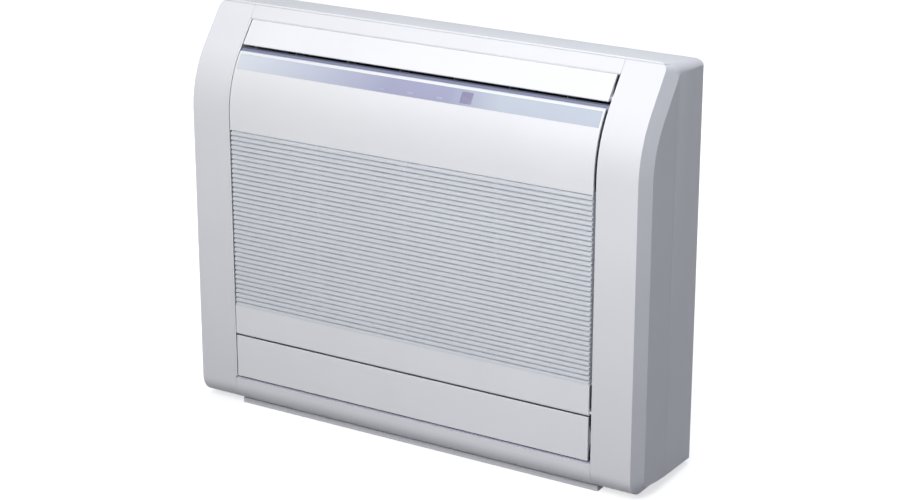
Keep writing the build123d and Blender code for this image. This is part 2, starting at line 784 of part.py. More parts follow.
# Front lips of the two air ducts, which also bound the inner frame
UPPER_FAN = (FAN_Y, UPPER_FAN_Z)
LOWER_FAN = (FAN_Y, LOWER_FAN_Z)
UPPER_LIP = incline_point(FLAP_HIGH, UPPER_LIP_DEPTH)
UPPER_LOW_LIP = (incline_point(GRILLE_HIGH, 0)[0] + LIP_SETBACK, GRILLE_HIGH - LIP_DROP)
LOWER_LIP = (LOWER_LIP_Y, BASE_TOP - 2 * LIP_DROP)
LOWER_HIGH_LIP = (LOWER_LIP_Y + 2 * LIP_DROP, GRILLE_LOW + LIP_DROP)
TONGUE_FOOT = polar(UPPER_FAN, FAN_R + TONGUE_GAP, TONGUE_ANGLE)
PLATE_LENGTH = math.dist(TONGUE_FOOT, UPPER_LOW_LIP)
FLOW = (
    (UPPER_LOW_LIP[0] - TONGUE_FOOT[0]) / PLATE_LENGTH,
    (UPPER_LOW_LIP[1] - TONGUE_FOOT[1]) / PLATE_LENGTH,
)


def arc_meets_line(radius, p, d):
    """Height where an arc about the front curve's centre meets the line from p along d."""
    centre = (FRONT_Y + FRONT_ARC_R, FRONT_ARC_Z)
    off = (p[0] - centre[0], p[1] - centre[1])
    b = off[0] * d[0] + off[1] * d[1]
    c = off[0] ** 2 + off[1] ** 2 - radius**2
    return p[1] + d[1] * (-b + math.sqrt(b * b - c))


UNDER_PLATE = (TONGUE_FOOT[0] - FLOW[1] * SCROLL_WALL, TONGUE_FOOT[1] + FLOW[0] * SCROLL_WALL)
FRAME_BACK_R = FRONT_ARC_R - FRAME_INSET - FRAME_THICK
FRAME_HIGH = arc_meets_line(FRAME_BACK_R, UNDER_PLATE, FLOW) - SHELL_GAP
FRAME_LOW = LOWER_HIGH_LIP[1] + SCROLL_WALL + SHELL_GAP

# Inner frame behind the grille, with the filter window and side lips
FRAME_HALF = COLUMN_X - SHELL_GAP
SCREW_X = DUCT_HALF + END_WALL + FLANGE_W / 2
with BuildPart() as front_frame:
    with BuildSketch(Plane.YZ.offset(-FRAME_HALF)):
        add(front_skin(FRAME_INSET, FRAME_INSET + FRAME_THICK, FRAME_LOW, FRAME_HIGH))
    extrude(amount=2 * FRAME_HALF)
    with BuildSketch(Plane.XZ.offset(-FRONT_Y)):
        with Locations((0, (WINDOW_LOW + WINDOW_HIGH) / 2)):
            RectangleRounded(2 * WINDOW_HALF, WINDOW_HIGH - WINDOW_LOW, REAR_CORNER_R)
        with Locations([(side * SCREW_X, z) for side in (-1, 1) for z in SCREW_ZS]):
            Circle(SCREW_R + LENS_CLEAR)
    extrude(amount=-DEPTH / 2, mode=Mode.SUBTRACT)
save(front_frame, "front_frame")

# Air filters: a rim and a thin mesh, side by side over the window
FILTER_LOW = WINDOW_LOW - FILTER_LAP
FILTER_HIGH = WINDOW_HIGH + FILTER_LAP
FILTER_W = WINDOW_HALF + FILTER_LAP - FILTER_GAP / 2
FILTER_Y = FRONT_Y + FRAME_INSET - SHELL_GAP / 2


def air_filter(side):
    """One air filter with its rim, a middle bar and its mesh."""
    centre = (side * (FILTER_W + FILTER_GAP) / 2, (FILTER_LOW + FILTER_HIGH) / 2)
    height = FILTER_HIGH - FILTER_LOW
    bay = (FILTER_W - 3 * FILTER_RIM) / 2
    with BuildPart() as air:
        with BuildSketch(Plane.XZ.offset(-FILTER_Y)):
            with Locations(centre):
                RectangleRounded(FILTER_W, height, REAR_CORNER_R / 2)
                with GridLocations(bay + FILTER_RIM, 1, 2, 1):
                    Rectangle(bay, height - 2 * FILTER_RIM, mode=Mode.SUBTRACT)
        extrude(amount=FILTER_THICK)
        with BuildSketch(Plane.XZ.offset(-FILTER_Y)):
            with Locations(centre):
                Rectangle(FILTER_W - FILTER_RIM, height - FILTER_RIM)
        extrude(amount=MESH_THICK)
    return air


left_air_filter = air_filter(-1)
save(left_air_filter, "left_air_filter")
right_air_filter = air_filter(1)
save(right_air_filter, "right_air_filter")

# Two air cleaning filters behind the upper rim of the window
with BuildPart() as air_cleaning_filters:
    with BuildSketch(Plane.XZ.offset(-FRONT_Y - FRAME_INSET - FRAME_THICK)):
        with Locations((0, WINDOW_HIGH + FILTER_LAP - CLEANER_H / 2)):
            with GridLocations(WINDOW_HALF, 1, 2, 1):
                RectangleRounded(CLEANER_W, CLEANER_H, REAR_CORNER_R / 2)
    extrude(amount=-CLEANER_THICK)
save(air_cleaning_filters, "air_cleaning_filters")


# Fan scrolls and their stabilisers
def plate_face(start, end, thick):
    """Straight plate section from start to end, thickened to its left."""
    length = math.dist(start, end)
    side = ((start[1] - end[1]) * thick / length, (end[0] - start[0]) * thick / length)
    with BuildSketch() as plate:
        with BuildLine():
            Polyline(
                start,
                end,
                (end[0] + side[0], end[1] + side[1]),
                (start[0] + side[0], start[1] + side[1]),
                close=True,
            )
        make_face()
    return plate.sketch


def band_face(centre, radius, thick, start, end):
    """Part of a ring between two angles, thickened outwards."""
    middle = (start + end) / 2
    with BuildSketch() as band:
        with BuildLine():
            ThreePointArc(
                polar(centre, radius, start),
                polar(centre, radius, middle),
                polar(centre, radius, end),
            )
            Line(polar(centre, radius, end), polar(centre, radius + thick, end))
            ThreePointArc(
                polar(centre, radius + thick, end),
                polar(centre, radius + thick, middle),
                polar(centre, radius + thick, start),
            )
            Line(polar(centre, radius + thick, start), polar(centre, radius, start))
        make_face()
    return band.sketch


def scroll(fan, lip, turn):
    """Rear guide of a fan: a band that opens away from it, then a plate to the outlet lip.

    turn is 1 for the upper fan and -1 for the lower one, which is its mirror image.
    """
    centre = (fan[0] + SCROLL_SHIFT_Y, fan[1] + turn * SCROLL_SHIFT_Z)
    reach = math.dist(centre, lip)
    lip_angle = math.degrees(math.atan2(turn * (lip[1] - centre[1]), lip[0] - centre[0]))
    tangent = lip_angle - math.degrees(math.acos(SCROLL_R / reach))
    with BuildPart() as guide:
        with BuildSketch(Plane.YZ.offset(-DUCT_HALF)):
            add(band_face(centre, SCROLL_R, SCROLL_WALL, turn * SCROLL_START, turn * tangent))
            foot = polar(centre, SCROLL_R, turn * tangent)
            if turn > 0:
                add(plate_face(lip, foot, SCROLL_WALL))
            else:
                add(plate_face(foot, lip, SCROLL_WALL))
        extrude(amount=2 * DUCT_HALF)
    return guide


upper_scroll = scroll(UPPER_FAN, UPPER_LIP, 1)
save(upper_scroll, "upper_scroll")
lower_scroll = scroll(LOWER_FAN, LOWER_LIP, -1)
save(lower_scroll, "lower_scroll")


def stabiliser(fan, lip, turn):
    """Tongue close to a fan with the plate that leads to the front lip."""
    start = turn * TONGUE_ANGLE
    radius = FAN_R + TONGUE_GAP
    foot = polar(fan, radius, start)
    with BuildPart() as tongue:
        with BuildSketch(Plane.YZ.offset(-DUCT_HALF)):
            add(band_face(fan, radius, SCROLL_WALL, start, start + turn * TONGUE_SPAN))
            if turn > 0:
                add(plate_face(foot, lip, SCROLL_WALL))
            else:
                add(plate_face(lip, foot, SCROLL_WALL))
        extrude(amount=2 * DUCT_HALF)
    return tongue


# Vane row: pivots stand square on the upper stabiliser plate
VANE_BASE = (
    UPPER_LOW_LIP[0] - FLOW[0] * VANE_SETBACK,
    UPPER_LOW_LIP[1] - FLOW[1] * VANE_SETBACK,
)
VANE_PLANE = Plane(
    origin=(0, VANE_BASE[0], VANE_BASE[1]),
    x_dir=(1, 0, 0),
    z_dir=(0, FLOW[1], -FLOW[0]),
)
VANE_XS = [(i - (VANE_COUNT - 1) / 2) * VANE_PITCH for i in range(VANE_COUNT)]

with BuildPart() as upper_stabiliser:
    add(stabiliser(UPPER_FAN, UPPER_LOW_LIP, 1).part)
    with BuildSketch(VANE_PLANE):
        with Locations([(x, 0) for x in VANE_XS]):
            Circle(VANE_PIN_R + PIN_CLEAR)
    extrude(amount=SCROLL_WALL, both=True, mode=Mode.SUBTRACT)
save(upper_stabiliser, "upper_stabiliser")
lower_stabiliser = stabiliser(LOWER_FAN, LOWER_HIGH_LIP, -1)
save(lower_stabiliser, "lower_stabiliser")


def vane_face():
    """Side outline of one vane over its pivot, notched where the link bar passes."""
    with BuildSketch() as outline:
        with Locations((0, VANE_FOOT)):
            Rectangle(VANE_CHORD, VANE_HEIGHT, align=(Align.CENTER, Align.MIN))
        fillet(outline.vertices().group_by(Axis.Y)[-1], LINK_ARM / 2)
        with Locations((VANE_CHORD / 2, VANE_FOOT)):
            Rectangle(
                LINK_NOTCH,
                LINK_NOTCH - VANE_FOOT,
                align=(Align.MAX, Align.MIN),
                mode=Mode.SUBTRACT,
            )
    return outline.sketch


def vane(x):
    """One upright vane with its pivot pin below and its link pin in the notch."""
    side_plane = Plane(
        origin=(x - VANE_THICK / 2, VANE_BASE[0], VANE_BASE[1]),
        x_dir=(0, -FLOW[0], -FLOW[1]),
        z_dir=(1, 0, 0),
    )
    with BuildPart() as blade:
        with BuildSketch(side_plane):
            add(vane_face())
        extrude(amount=VANE_THICK)
        with BuildSketch(VANE_PLANE.offset(-SCROLL_WALL)):
            with Locations((x, 0)):
                Circle(VANE_PIN_R)
        extrude(amount=SCROLL_WALL + LINK_RISE)
        with BuildSketch(VANE_PLANE.offset(LINK_RISE - VANE_FOOT)):
            with Locations((x, LINK_ARM)):
                Circle(LINK_PIN_R)
        extrude(amount=LINK_NOTCH - LINK_RISE + 2 * VANE_FOOT)
    return blade


for index, vane_x in enumerate(VANE_XS, start=1):
    save(vane(vane_x), f"upper_vane_{index}")

# Flat link bar with a slot for each vane's link pin
LINK_SHIFT = LINK_ARM * (1 - math.cos(VANE_SWING)) / 2
with BuildPart() as vane_link_bar:
    with BuildSketch(VANE_PLANE.offset(LINK_RISE)):
        with Locations((0, LINK_ARM)):
            RectangleRounded(VANE_COUNT * VANE_PITCH - VANE_PITCH / 2, LINK_WIDTH, VANE_FOOT)
        with Locations([(x, LINK_ARM - LINK_SHIFT) for x in VANE_XS]):
            SlotOverall(
                2 * (LINK_SHIFT + LINK_PIN_R + LINK_CLEAR),
                2 * (LINK_PIN_R + LINK_CLEAR),
                rotation=90,
                mode=Mode.SUBTRACT,
            )
    extrude(amount=LINK_THICK)
save(vane_link_bar, "vane_link_bar")


def blade_face():
    """Curved section of one fan blade about the middle of its chord."""
    half = BLADE_CHORD / 2
    with BuildSketch() as section:
        with BuildLine():
            ThreePointArc((-half, 0), (0, BLADE_CAMBER), (half, 0))
            Line((half, 0), (half - BLADE_THICK / 2, -BLADE_THICK))
            ThreePointArc(
                (half - BLADE_THICK / 2, -BLADE_THICK),
                (0, BLADE_CAMBER - BLADE_THICK),
                (BLADE_THICK / 2 - half, -BLADE_THICK),
            )
            Line((BLADE_THICK / 2 - half, -BLADE_THICK), (-half, 0))
        make_face()
    return section.sketch


def fan_rotor(fan):
    """Cross-flow rotor: curved blades between ring discs, with hubs in the end discs."""
    blade_r = FAN_R - BLADE_CHORD / 2
    spacing = (2 * FAN_HALF - DISC_THICK) / (FAN_DISCS - 1)
    with BuildPart() as rotor:
        with BuildSketch(Plane.YZ.offset(-FAN_HALF)):
            with Locations(fan):
                with PolarLocations(blade_r, FAN_BLADES):
                    add(blade_face(), rotation=BLADE_LEAN)
        extrude(amount=2 * FAN_HALF)
        for i in range(FAN_DISCS):
            with BuildSketch(Plane.YZ.offset(-FAN_HALF + i * spacing)):
                with Locations(fan):
                    Circle(FAN_R)
                    if 0 < i < FAN_DISCS - 1:
                        Circle(FAN_R - 1.2 * BLADE_CHORD, mode=Mode.SUBTRACT)
            extrude(amount=DISC_THICK)
        for side in (-1, 1):
            with BuildSketch(Plane.YZ.offset(side * FAN_HALF)):
                with Locations(fan):
                    Circle(HUB_R)
            extrude(amount=-side * HUB_LENGTH)
            with BuildSketch(Plane.YZ.offset(side * FAN_HALF)):
                with Locations(fan):
                    Circle(SHAFT_R + SHAFT_CLEAR)
            extrude(amount=-side * HUB_LENGTH, mode=Mode.SUBTRACT)
    return rotor


def fan_shafts(fan):
    """Stub shafts of a rotor: the left one for the bearing, the right one from the motor."""
    outer = DUCT_HALF + END_WALL
    with BuildPart() as stubs:
        for side, end in ((-1, outer + BEARING_LENGTH / 2), (1, outer + SHAFT_REACH)):
            with BuildSketch(Plane.YZ.offset(side * (FAN_HALF - HUB_LENGTH))):
                with Locations(fan):
                    Circle(SHAFT_R)
            extrude(amount=side * (end - FAN_HALF + HUB_LENGTH))
    return stubs


def fan_bearing(fan):
    """Rubber bushing with a flange, seated in the left end wall."""
    with BuildPart() as bush:
        with BuildSketch(Plane.YZ.offset(-DUCT_HALF)):
            with Locations(fan):
                Circle(BEARING_R)
        extrude(amount=-BEARING_LENGTH)
        with BuildSketch(Plane.YZ.offset(-DUCT_HALF - END_WALL)):
            with Locations(fan):
                Circle(BEARING_FLANGE_R)
        extrude(amount=-END_WALL)
        with BuildSketch(Plane.YZ.offset(-DUCT_HALF)):
            with Locations(fan):
                Circle(SHAFT_R + 2 * SHAFT_CLEAR)
        extrude(amount=-BEARING_LENGTH, mode=Mode.SUBTRACT)
    return bush


def fan_motor(fan):
    """Motor can with a mounting flange on the right end wall and a bore for its shaft."""
    face_x = DUCT_HALF + END_WALL
    with BuildPart() as motor:
        with BuildSketch(Plane.YZ.offset(face_x)):
            with Locations(fan):
                Circle(MOTOR_FLANGE_R)
        extrude(amount=MOTOR_FLANGE)
        with BuildSketch(Plane.YZ.offset(face_x)):
            with Locations(fan):
                Circle(MOTOR_R)
        extrude(amount=MOTOR_LENGTH)
        fillet(motor.edges().filter_by(GeomType.CIRCLE).sort_by(Axis.X)[-1], EDGE_R * 4)
        with BuildSketch(Plane.YZ.offset(face_x + MOTOR_LENGTH)):
            with Locations(fan):
                Circle(HUB_R)
        extrude(amount=HUB_LENGTH / 2)
        with BuildSketch(Plane.YZ.offset(face_x)):
            with Locations(fan):
                Circle(SHAFT_R + PIN_CLEAR)
        extrude(amount=SHAFT_REACH + SHELL_GAP, mode=Mode.SUBTRACT)
    return motor


for level, fan in (("upper", UPPER_FAN), ("lower", LOWER_FAN)):
    save(fan_rotor(fan), f"{level}_fan_rotor")
    save(fan_shafts(fan), f"{level}_fan_shafts")
    save(fan_bearing(fan), f"{level}_fan_bearing")
    save(fan_motor(fan), f"{level}_fan_motor")


# Evaporator leaves: points are given along a leaf from the apex and across its thickness
LEAN = math.radians(LEAF_TILT)
LEAF_START = LEAF_THICK * math.tan(LEAN)
LEAF_END = LEAF_START + LEAF_LENGTH


def leaf_point(turn, along, across):
    """Point of the upper (1) or lower (-1) leaf in the YZ plane."""
    y = APEX_Y + along * math.sin(LEAN) + across * math.cos(LEAN)
    return (y, APEX_Z + turn * (along * math.cos(LEAN) - across * math.sin(LEAN)))


def leaf_face(turn, start, end, rim):
    """Section of one leaf between two lengths, with a rim on both faces."""
    with BuildSketch() as leaf:
        with BuildLine():
            Polyline(
                leaf_point(turn, start, -rim),
                leaf_point(turn, end, -rim),
                leaf_point(turn, end, LEAF_THICK + rim),
                leaf_point(turn, start, LEAF_THICK + rim),
                close=True,
            )
        make_face()
    return leaf.sketch


with BuildPart() as evaporator_fins:
    with BuildSketch(Plane.YZ.offset(-FIN_HALF)):
        add(leaf_face(1, LEAF_START, LEAF_END, 0))
        add(leaf_face(-1, LEAF_START, LEAF_END, 0))
    extrude(amount=2 * FIN_HALF)
    for turn in (-1, 1):
        centre = leaf_point(turn, (LEAF_START + LEAF_END) / 2, 0)
        groove_plane = Plane(
            origin=(0, centre[0], centre[1]),
            x_dir=(1, 0, 0),
            z_dir=(0, math.cos(LEAN), -turn * math.sin(LEAN)),
        )
        with BuildSketch(groove_plane):
            with GridLocations(FIN_PITCH, 1, int(2 * FIN_HALF / FIN_PITCH), 1):
                Rectangle(FIN_GROOVE, LEAF_LENGTH + 2 * SHEET_RIM)
        extrude(amount=FIN_GROOVE_DEPTH, mode=Mode.SUBTRACT)
save(evaporator_fins, "evaporator_fins")

# Tube sheets at both ends: each stands in the drain pan and has a tab to the end wall
FOOT_LOW = PAN_LOW + PAN_WALL + SHELL_GAP / 2
FOOT_HIGH = leaf_point(-1, LEAF_END, 0)[1]
FOOT_Y = (PAN_FRONT_Y + PAN_REAR_Y) / 2
TAB_W = FOOT_W / 2
TAB_Y = leaf_point(1, 0, LEAF_THICK)[0] + SHEET_RIM - TAB_W / 2
with BuildPart() as tube_sheets:
    for side in (-1, 1):
        with BuildSketch(Plane.YZ.offset(side * FIN_HALF)):
            add(leaf_face(1, 0, LEAF_END + SHEET_RIM, SHEET_RIM))
            add(leaf_face(-1, 0, LEAF_END + SHEET_RIM, SHEET_RIM))
            with Locations((FOOT_Y, FOOT_LOW)):
                Rectangle(FOOT_W, FOOT_HIGH + FOOT_W / 2 - FOOT_LOW, align=(Align.CENTER, Align.MIN))
        extrude(amount=side * SHEET_THICK)
        with BuildSketch(Plane.YZ.offset(side * FIN_HALF)):
            with Locations((TAB_Y, APEX_Z)):
                Rectangle(TAB_W, SHEET_THICK)
        extrude(amount=side * (DUCT_HALF - FIN_HALF))
save(tube_sheets, "evaporator_tube_sheets")


def tube_point(turn, index):
    """Centre of one tube of a leaf, counted from the apex."""
    margin = (LEAF_LENGTH - (TUBES_PER_LEAF - 1) * 2 * BEND_R) / 2
    return leaf_point(turn, LEAF_START + margin + index * 2 * BEND_R, LEAF_THICK / 2)


def tube(points, radius, bend):
    """Round tube along a bent path."""
    with BuildPart() as run:
        with BuildLine() as path:
            FilletPolyline(points, radius=bend)
        with BuildSketch(Plane(origin=path.line @ 0, z_dir=path.line % 0)):
            Circle(radius)
        sweep()
    return run.part


def return_bend(side, first, second):
    """U bend on the outer face of a tube sheet, between two tube centres."""
    near = side * (FIN_HALF + SHEET_THICK + LENS_CLEAR)
    far = near + side * BEND_R
    path = [(near, *first), (far, *first), (far, *second), (near, *second)]
    return tube(path, TUBE_R, BEND_R - EDGE_R)


with BuildPart() as return_bends:
    for turn in (-1, 1):
        for i in range(0, TUBES_PER_LEAF, 2):
            add(return_bend(1, tube_point(turn, i), tube_point(turn, i + 1)))
        for i in range(1, TUBES_PER_LEAF - 1, 2):
            add(return_bend(-1, tube_point(turn, i), tube_point(turn, i + 1)))
    add(return_bend(-1, tube_point(-1, 0), tube_point(1, 0)))
save(return_bends, "evaporator_return_bends")

# Drain pan under the evaporator, with an outlet hole in its left end
SPIGOT_POINT = (PAN_REAR_Y - PAN_WALL - SPIGOT_R, PAN_LOW + PAN_WALL + SPIGOT_R)
with BuildPart() as drain_pan:
    with BuildSketch(Plane.YZ.offset(-DUCT_HALF)):
        with Locations((FOOT_Y, PAN_LOW)):
            Rectangle(PAN_REAR_Y - PAN_FRONT_Y, PAN_HIGH - PAN_LOW, align=(Align.CENTER, Align.MIN))
    extrude(amount=2 * DUCT_HALF)
    with BuildSketch(Plane.YZ.offset(PAN_WALL - DUCT_HALF)):
        with Locations((FOOT_Y, PAN_LOW + PAN_WALL)):
            Rectangle(
                PAN_REAR_Y - PAN_FRONT_Y - 2 * PAN_WALL,
                PAN_HIGH - PAN_LOW,
                align=(Align.CENTER, Align.MIN),
            )
    extrude(amount=2 * (DUCT_HALF - PAN_WALL), mode=Mode.SUBTRACT)
    with BuildSketch(Plane.YZ.offset(-DUCT_HALF)):
        with Locations(SPIGOT_POINT):
            Circle(SPIGOT_R - SPIGOT_WALL)
    extrude(amount=PAN_WALL, mode=Mode.SUBTRACT)
save(drain_pan, "drain_pan")


def service_path(start_x, point, end_y):
    """Path out through the left end wall, back in the column and down to the union height."""
    return [
        (start_x, *point),
        (PIPE_X, *point),
        (PIPE_X, end_y, point[1]),
        (PIPE_X, end_y, UNION_END_Z),
    ]


def service_pipe(point, end_y, radius, union_r):
    """Copper pipe from a tube sheet to a threaded union with its nut."""
    with BuildPart() as pipe:
        add(tube(service_path(-FIN_HALF - SHEET_THICK, point, end_y), radius, PIPE_BEND_R))
        with BuildSketch(Plane.XY.offset(UNION_END_Z)):
            with Locations((PIPE_X, end_y)):
                Circle(union_r)
        extrude(amount=UNION_LENGTH)
        with BuildSketch(Plane.XY.offset(UNION_END_Z + UNION_LENGTH)):
            with Locations((PIPE_X, end_y)):
                RegularPolygon(union_r + PIPE_WALL, 6)
        extrude(amount=NUT_LENGTH)
        with BuildSketch(Plane.XY.offset(UNION_END_Z)):
            with Locations((PIPE_X, end_y)):
                Circle(radius - PIPE_WALL)
        extrude(amount=UNION_LENGTH, mode=Mode.SUBTRACT)
    return pipe


GAS_POINT = tube_point(1, TUBES_PER_LEAF - 1)
LIQUID_POINT = tube_point(-1, TUBES_PER_LEAF - 1)
gas_pipe = service_pipe(GAS_POINT, PIPE_Y, GAS_R, GAS_UNION_R)
save(gas_pipe, "gas_pipe")
liquid_pipe = service_pipe(LIQUID_POINT, PIPE_Y - PIPE_SPACING, LIQUID_R, LIQUID_UNION_R)
save(liquid_pipe, "liquid_pipe")

with BuildPart() as drain_spigot:
    add(tube(service_path(-DUCT_HALF, SPIGOT_POINT, PIPE_Y - 2 * PIPE_SPACING), SPIGOT_R, PIPE_BEND_R))
    with BuildSketch(Plane.XY.offset(UNION_END_Z)):
        with Locations((PIPE_X, PIPE_Y - 2 * PIPE_SPACING)):
            Circle(SPIGOT_R - SPIGOT_WALL)
    extrude(amount=UNION_LENGTH, mode=Mode.SUBTRACT)
    with BuildSketch(Plane.YZ.offset(-DUCT_HALF)):
        with Locations(SPIGOT_POINT):
            Circle(SPIGOT_R - SPIGOT_WALL)
    extrude(amount=-UNION_LENGTH, mode=Mode.SUBTRACT)
save(drain_spigot, "drain_spigot")

# End walls of the air path
LOUVER_SWEEP = math.hypot(LOUVER_PIN_DEPTH, (LOUVER_HIGH - LOUVER_LOW) / 2) + SWING_CLEAR
BOX_REAR_Y = BODY_REAR_Y + BACK_BOX_DEPTH - WALL - SHELL_GAP
BOX_INNER_H = BACK_BOX_HIGH - BACK_BOX_LOW - 2 * (WALL + SHELL_GAP)


def end_wall(side, holes):
    """Plate that closes the air path at one end, with a flange for the frame screws."""
    with BuildPart() as wall:
        with BuildSketch(Plane.YZ.offset(side * DUCT_HALF)):
            add(outline_face(FRAME_INSET + FRAME_THICK, WALL + SHELL_GAP))
            with Locations((BOX_REAR_Y, (BACK_BOX_LOW + BACK_BOX_HIGH) / 2)):
                Rectangle(2 * BACK_BOX_DEPTH, BOX_INNER_H, align=(Align.MAX, Align.CENTER))
            with Locations(LOUVER_PIN):
                Circle(LOUVER_SWEEP, mode=Mode.SUBTRACT)
            for hole_centre, hole_radius in holes:
                with Locations(hole_centre):
                    Circle(hole_radius, mode=Mode.SUBTRACT)
        extrude(amount=side * END_WALL)
        with BuildSketch(Plane.YZ.offset(side * (DUCT_HALF + END_WALL))):
            inner = FRAME_INSET + FRAME_THICK
            add(front_skin(inner, inner + FRAME_THICK, FRAME_LOW, FRAME_HIGH))
        extrude(amount=side * FLANGE_W)
        with BuildSketch(Plane.XZ.offset(-FRONT_Y)):
            with Locations([(side * SCREW_X, z) for z in SCREW_ZS]):
                Circle(SCREW_R + LENS_CLEAR)
        extrude(amount=-DEPTH / 2, mode=Mode.SUBTRACT)
    return wall


LEFT_HOLES = (
    (UPPER_FAN, BEARING_R + SHAFT_CLEAR),
    (LOWER_FAN, BEARING_R + SHAFT_CLEAR),
    (GAS_POINT, GAS_R + PIPE_PASS),
    (LIQUID_POINT, LIQUID_R + PIPE_PASS),
    (SPIGOT_POINT, SPIGOT_R + PIN_CLEAR),
)
left_end_wall = end_wall(-1, LEFT_HOLES)
save(left_end_wall, "left_end_wall")
right_end_wall = end_wall(1, ((UPPER_FAN, SHAFT_HOLE_R), (LOWER_FAN, SHAFT_HOLE_R)))
save(right_end_wall, "right_end_wall")

# Control box on the right end wall: tray, lid, circuit board and terminal block
BOX_X = DUCT_HALF + END_WALL
BOX_MIDDLE = (0, (BOX_LOW + BOX_HIGH) / 2)
BOARD_MIDDLE = (0, (BOARD_LOW + BOARD_HIGH) / 2)
BOARD_PLACES = (2 * BOARD_HALF_Y - 4 * STANDOFF_R, BOARD_HIGH - BOARD_LOW - 4 * STANDOFF_R)
with BuildPart() as control_box:
    with BuildSketch(Plane.YZ.offset(BOX_X)):
        with Locations(BOX_MIDDLE):
            RectangleRounded(2 * BOX_HALF_Y, BOX_HIGH - BOX_LOW, BOX_WALL * 2)
    extrude(amount=BOX_WIDTH)
    with BuildSketch(Plane.YZ.offset(BOX_X + BOX_WALL)):
        with Locations(BOX_MIDDLE):
            RectangleRounded(2 * (BOX_HALF_Y - BOX_WALL), BOX_HIGH - BOX_LOW - 2 * BOX_WALL, BOX_WALL)
    extrude(amount=BOX_WIDTH, mode=Mode.SUBTRACT)
    with BuildSketch(Plane.YZ.offset(BOX_X + BOX_WALL)):
        with Locations(BOARD_MIDDLE):
            with GridLocations(*BOARD_PLACES, 2, 2):
                Circle(STANDOFF_R)
    extrude(amount=STANDOFF)
    with BuildSketch(Plane.XY.offset(BOX_LOW)):
        with Locations((BOX_X + BOX_WIDTH / 2, 0)):
            SlotOverall(BOX_WIDTH / 2, SPIGOT_R)
    extrude(amount=BOX_WALL, mode=Mode.SUBTRACT)
save(control_box, "control_box")

with BuildPart() as control_box_lid:
    with BuildSketch(Plane.YZ.offset(BOX_X + BOX_WIDTH)):
        with Locations(BOX_MIDDLE):
            RectangleRounded(2 * BOX_HALF_Y, BOX_HIGH - BOX_LOW, BOX_WALL * 2)
    extrude(amount=BOX_WALL)
    inset = BOX_WALL + SHELL_GAP
    with BuildSketch(Plane.YZ.offset(BOX_X + BOX_WIDTH)):
        with Locations(BOX_MIDDLE):
            RectangleRounded(2 * (BOX_HALF_Y - inset), BOX_HIGH - BOX_LOW - 2 * inset, BOX_WALL)
    extrude(amount=-3 * BOX_WALL)
    inset = 2 * BOX_WALL + SHELL_GAP
    with BuildSketch(Plane.YZ.offset(BOX_X + BOX_WIDTH)):
        with Locations(BOX_MIDDLE):
            Rectangle(2 * (BOX_HALF_Y - inset), BOX_HIGH - BOX_LOW - 2 * inset)
    extrude(amount=-3 * BOX_WALL, mode=Mode.SUBTRACT)
save(control_box_lid, "control_box_lid")

with BuildPart() as circuit_board:
    board_x = BOX_X + BOX_WALL + STANDOFF
    with BuildSketch(Plane.YZ.offset(board_x)):
        with Locations(BOARD_MIDDLE):
            Rectangle(2 * BOARD_HALF_Y, BOARD_HIGH - BOARD_LOW)
    extrude(amount=BOARD_THICK)
    with BuildSketch(Plane.YZ.offset(board_x + BOARD_THICK)):
        with Locations((-BOARD_HALF_Y / 2, BOARD_HIGH - STANDOFF * 4)):
            RectangleRounded(STANDOFF * 4, STANDOFF * 3, EDGE_R)
        with Locations((BOARD_HALF_Y / 2, BOARD_HIGH - STANDOFF * 3)):
            Circle(STANDOFF)
        with Locations((BOARD_HALF_Y / 2, BOARD_MIDDLE[1])):
            Circle(STANDOFF)
    extrude(amount=STANDOFF * 3)
    with BuildSketch(Plane.YZ.offset(board_x + BOARD_THICK)):
        with Locations((0, BOARD_LOW + STANDOFF)):
            with GridLocations(2 * STANDOFF, 1, TERMINALS - 1, 1):
                Rectangle(1.5 * STANDOFF, STANDOFF)
        with Locations((-BOARD_HALF_Y / 2, BOARD_MIDDLE[1] - STANDOFF)):
            with GridLocations(1, 2 * STANDOFF, 1, 3):
                Rectangle(2 * STANDOFF, STANDOFF)
    extrude(amount=STANDOFF)
save(circuit_board, "circuit_board")

with BuildPart() as terminal_block:
    with BuildSketch(Plane.YZ.offset(BOX_X + BOX_WALL)):
        with Locations((0, (BOX_LOW + BOARD_LOW) / 2)):
            Rectangle((TERMINALS + 1) * TERMINAL_PITCH, 3 * STANDOFF)
    extrude(amount=2 * STANDOFF)
    with BuildSketch(Plane.YZ.offset(BOX_X + BOX_WALL + STANDOFF)):
        with Locations((0, (BOX_LOW + BOARD_LOW) / 2)):
            with GridLocations(TERMINAL_PITCH, 1, TERMINALS, 1):
                Rectangle(TERMINAL_PITCH - PAN_WALL, 3 * STANDOFF)
    extrude(amount=STANDOFF, mode=Mode.SUBTRACT)
    with BuildSketch(Plane.YZ.offset(BOX_X + BOX_WALL + STANDOFF)):
        with Locations((0, (BOX_LOW + BOARD_LOW) / 2)):
            with GridLocations(TERMINAL_PITCH, 1.5 * STANDOFF, TERMINALS, 2):
                Circle(SCREW_HEAD_R)
    extrude(amount=SCREW_HEAD)
save(terminal_block, "terminal_block")


def skin_plane(x, z, inset):
    """Plane square to the curved part of the front, at an inset under the skin."""
    radius = FRONT_ARC_R - inset
    angle = math.asin((z - FRONT_ARC_Z) / (FRONT_ARC_R - FRAME_INSET))
    y = FRONT_Y + FRONT_ARC_R - radius * math.cos(angle)
    return Plane(
        origin=(x, y, FRONT_ARC_Z + radius * math.sin(angle)),
        x_dir=(1, 0, 0),
        z_dir=(0, -math.cos(angle), math.sin(angle)),
    )


def frame_block():
    """All of the space behind the front face of the inner frame."""
    with BuildPart() as block:
        with BuildSketch(Plane.YZ.offset(-FRAME_HALF)):
            add(outline_face(FRAME_INSET, WALL))
        extrude(amount=2 * FRAME_HALF)
    return block.part


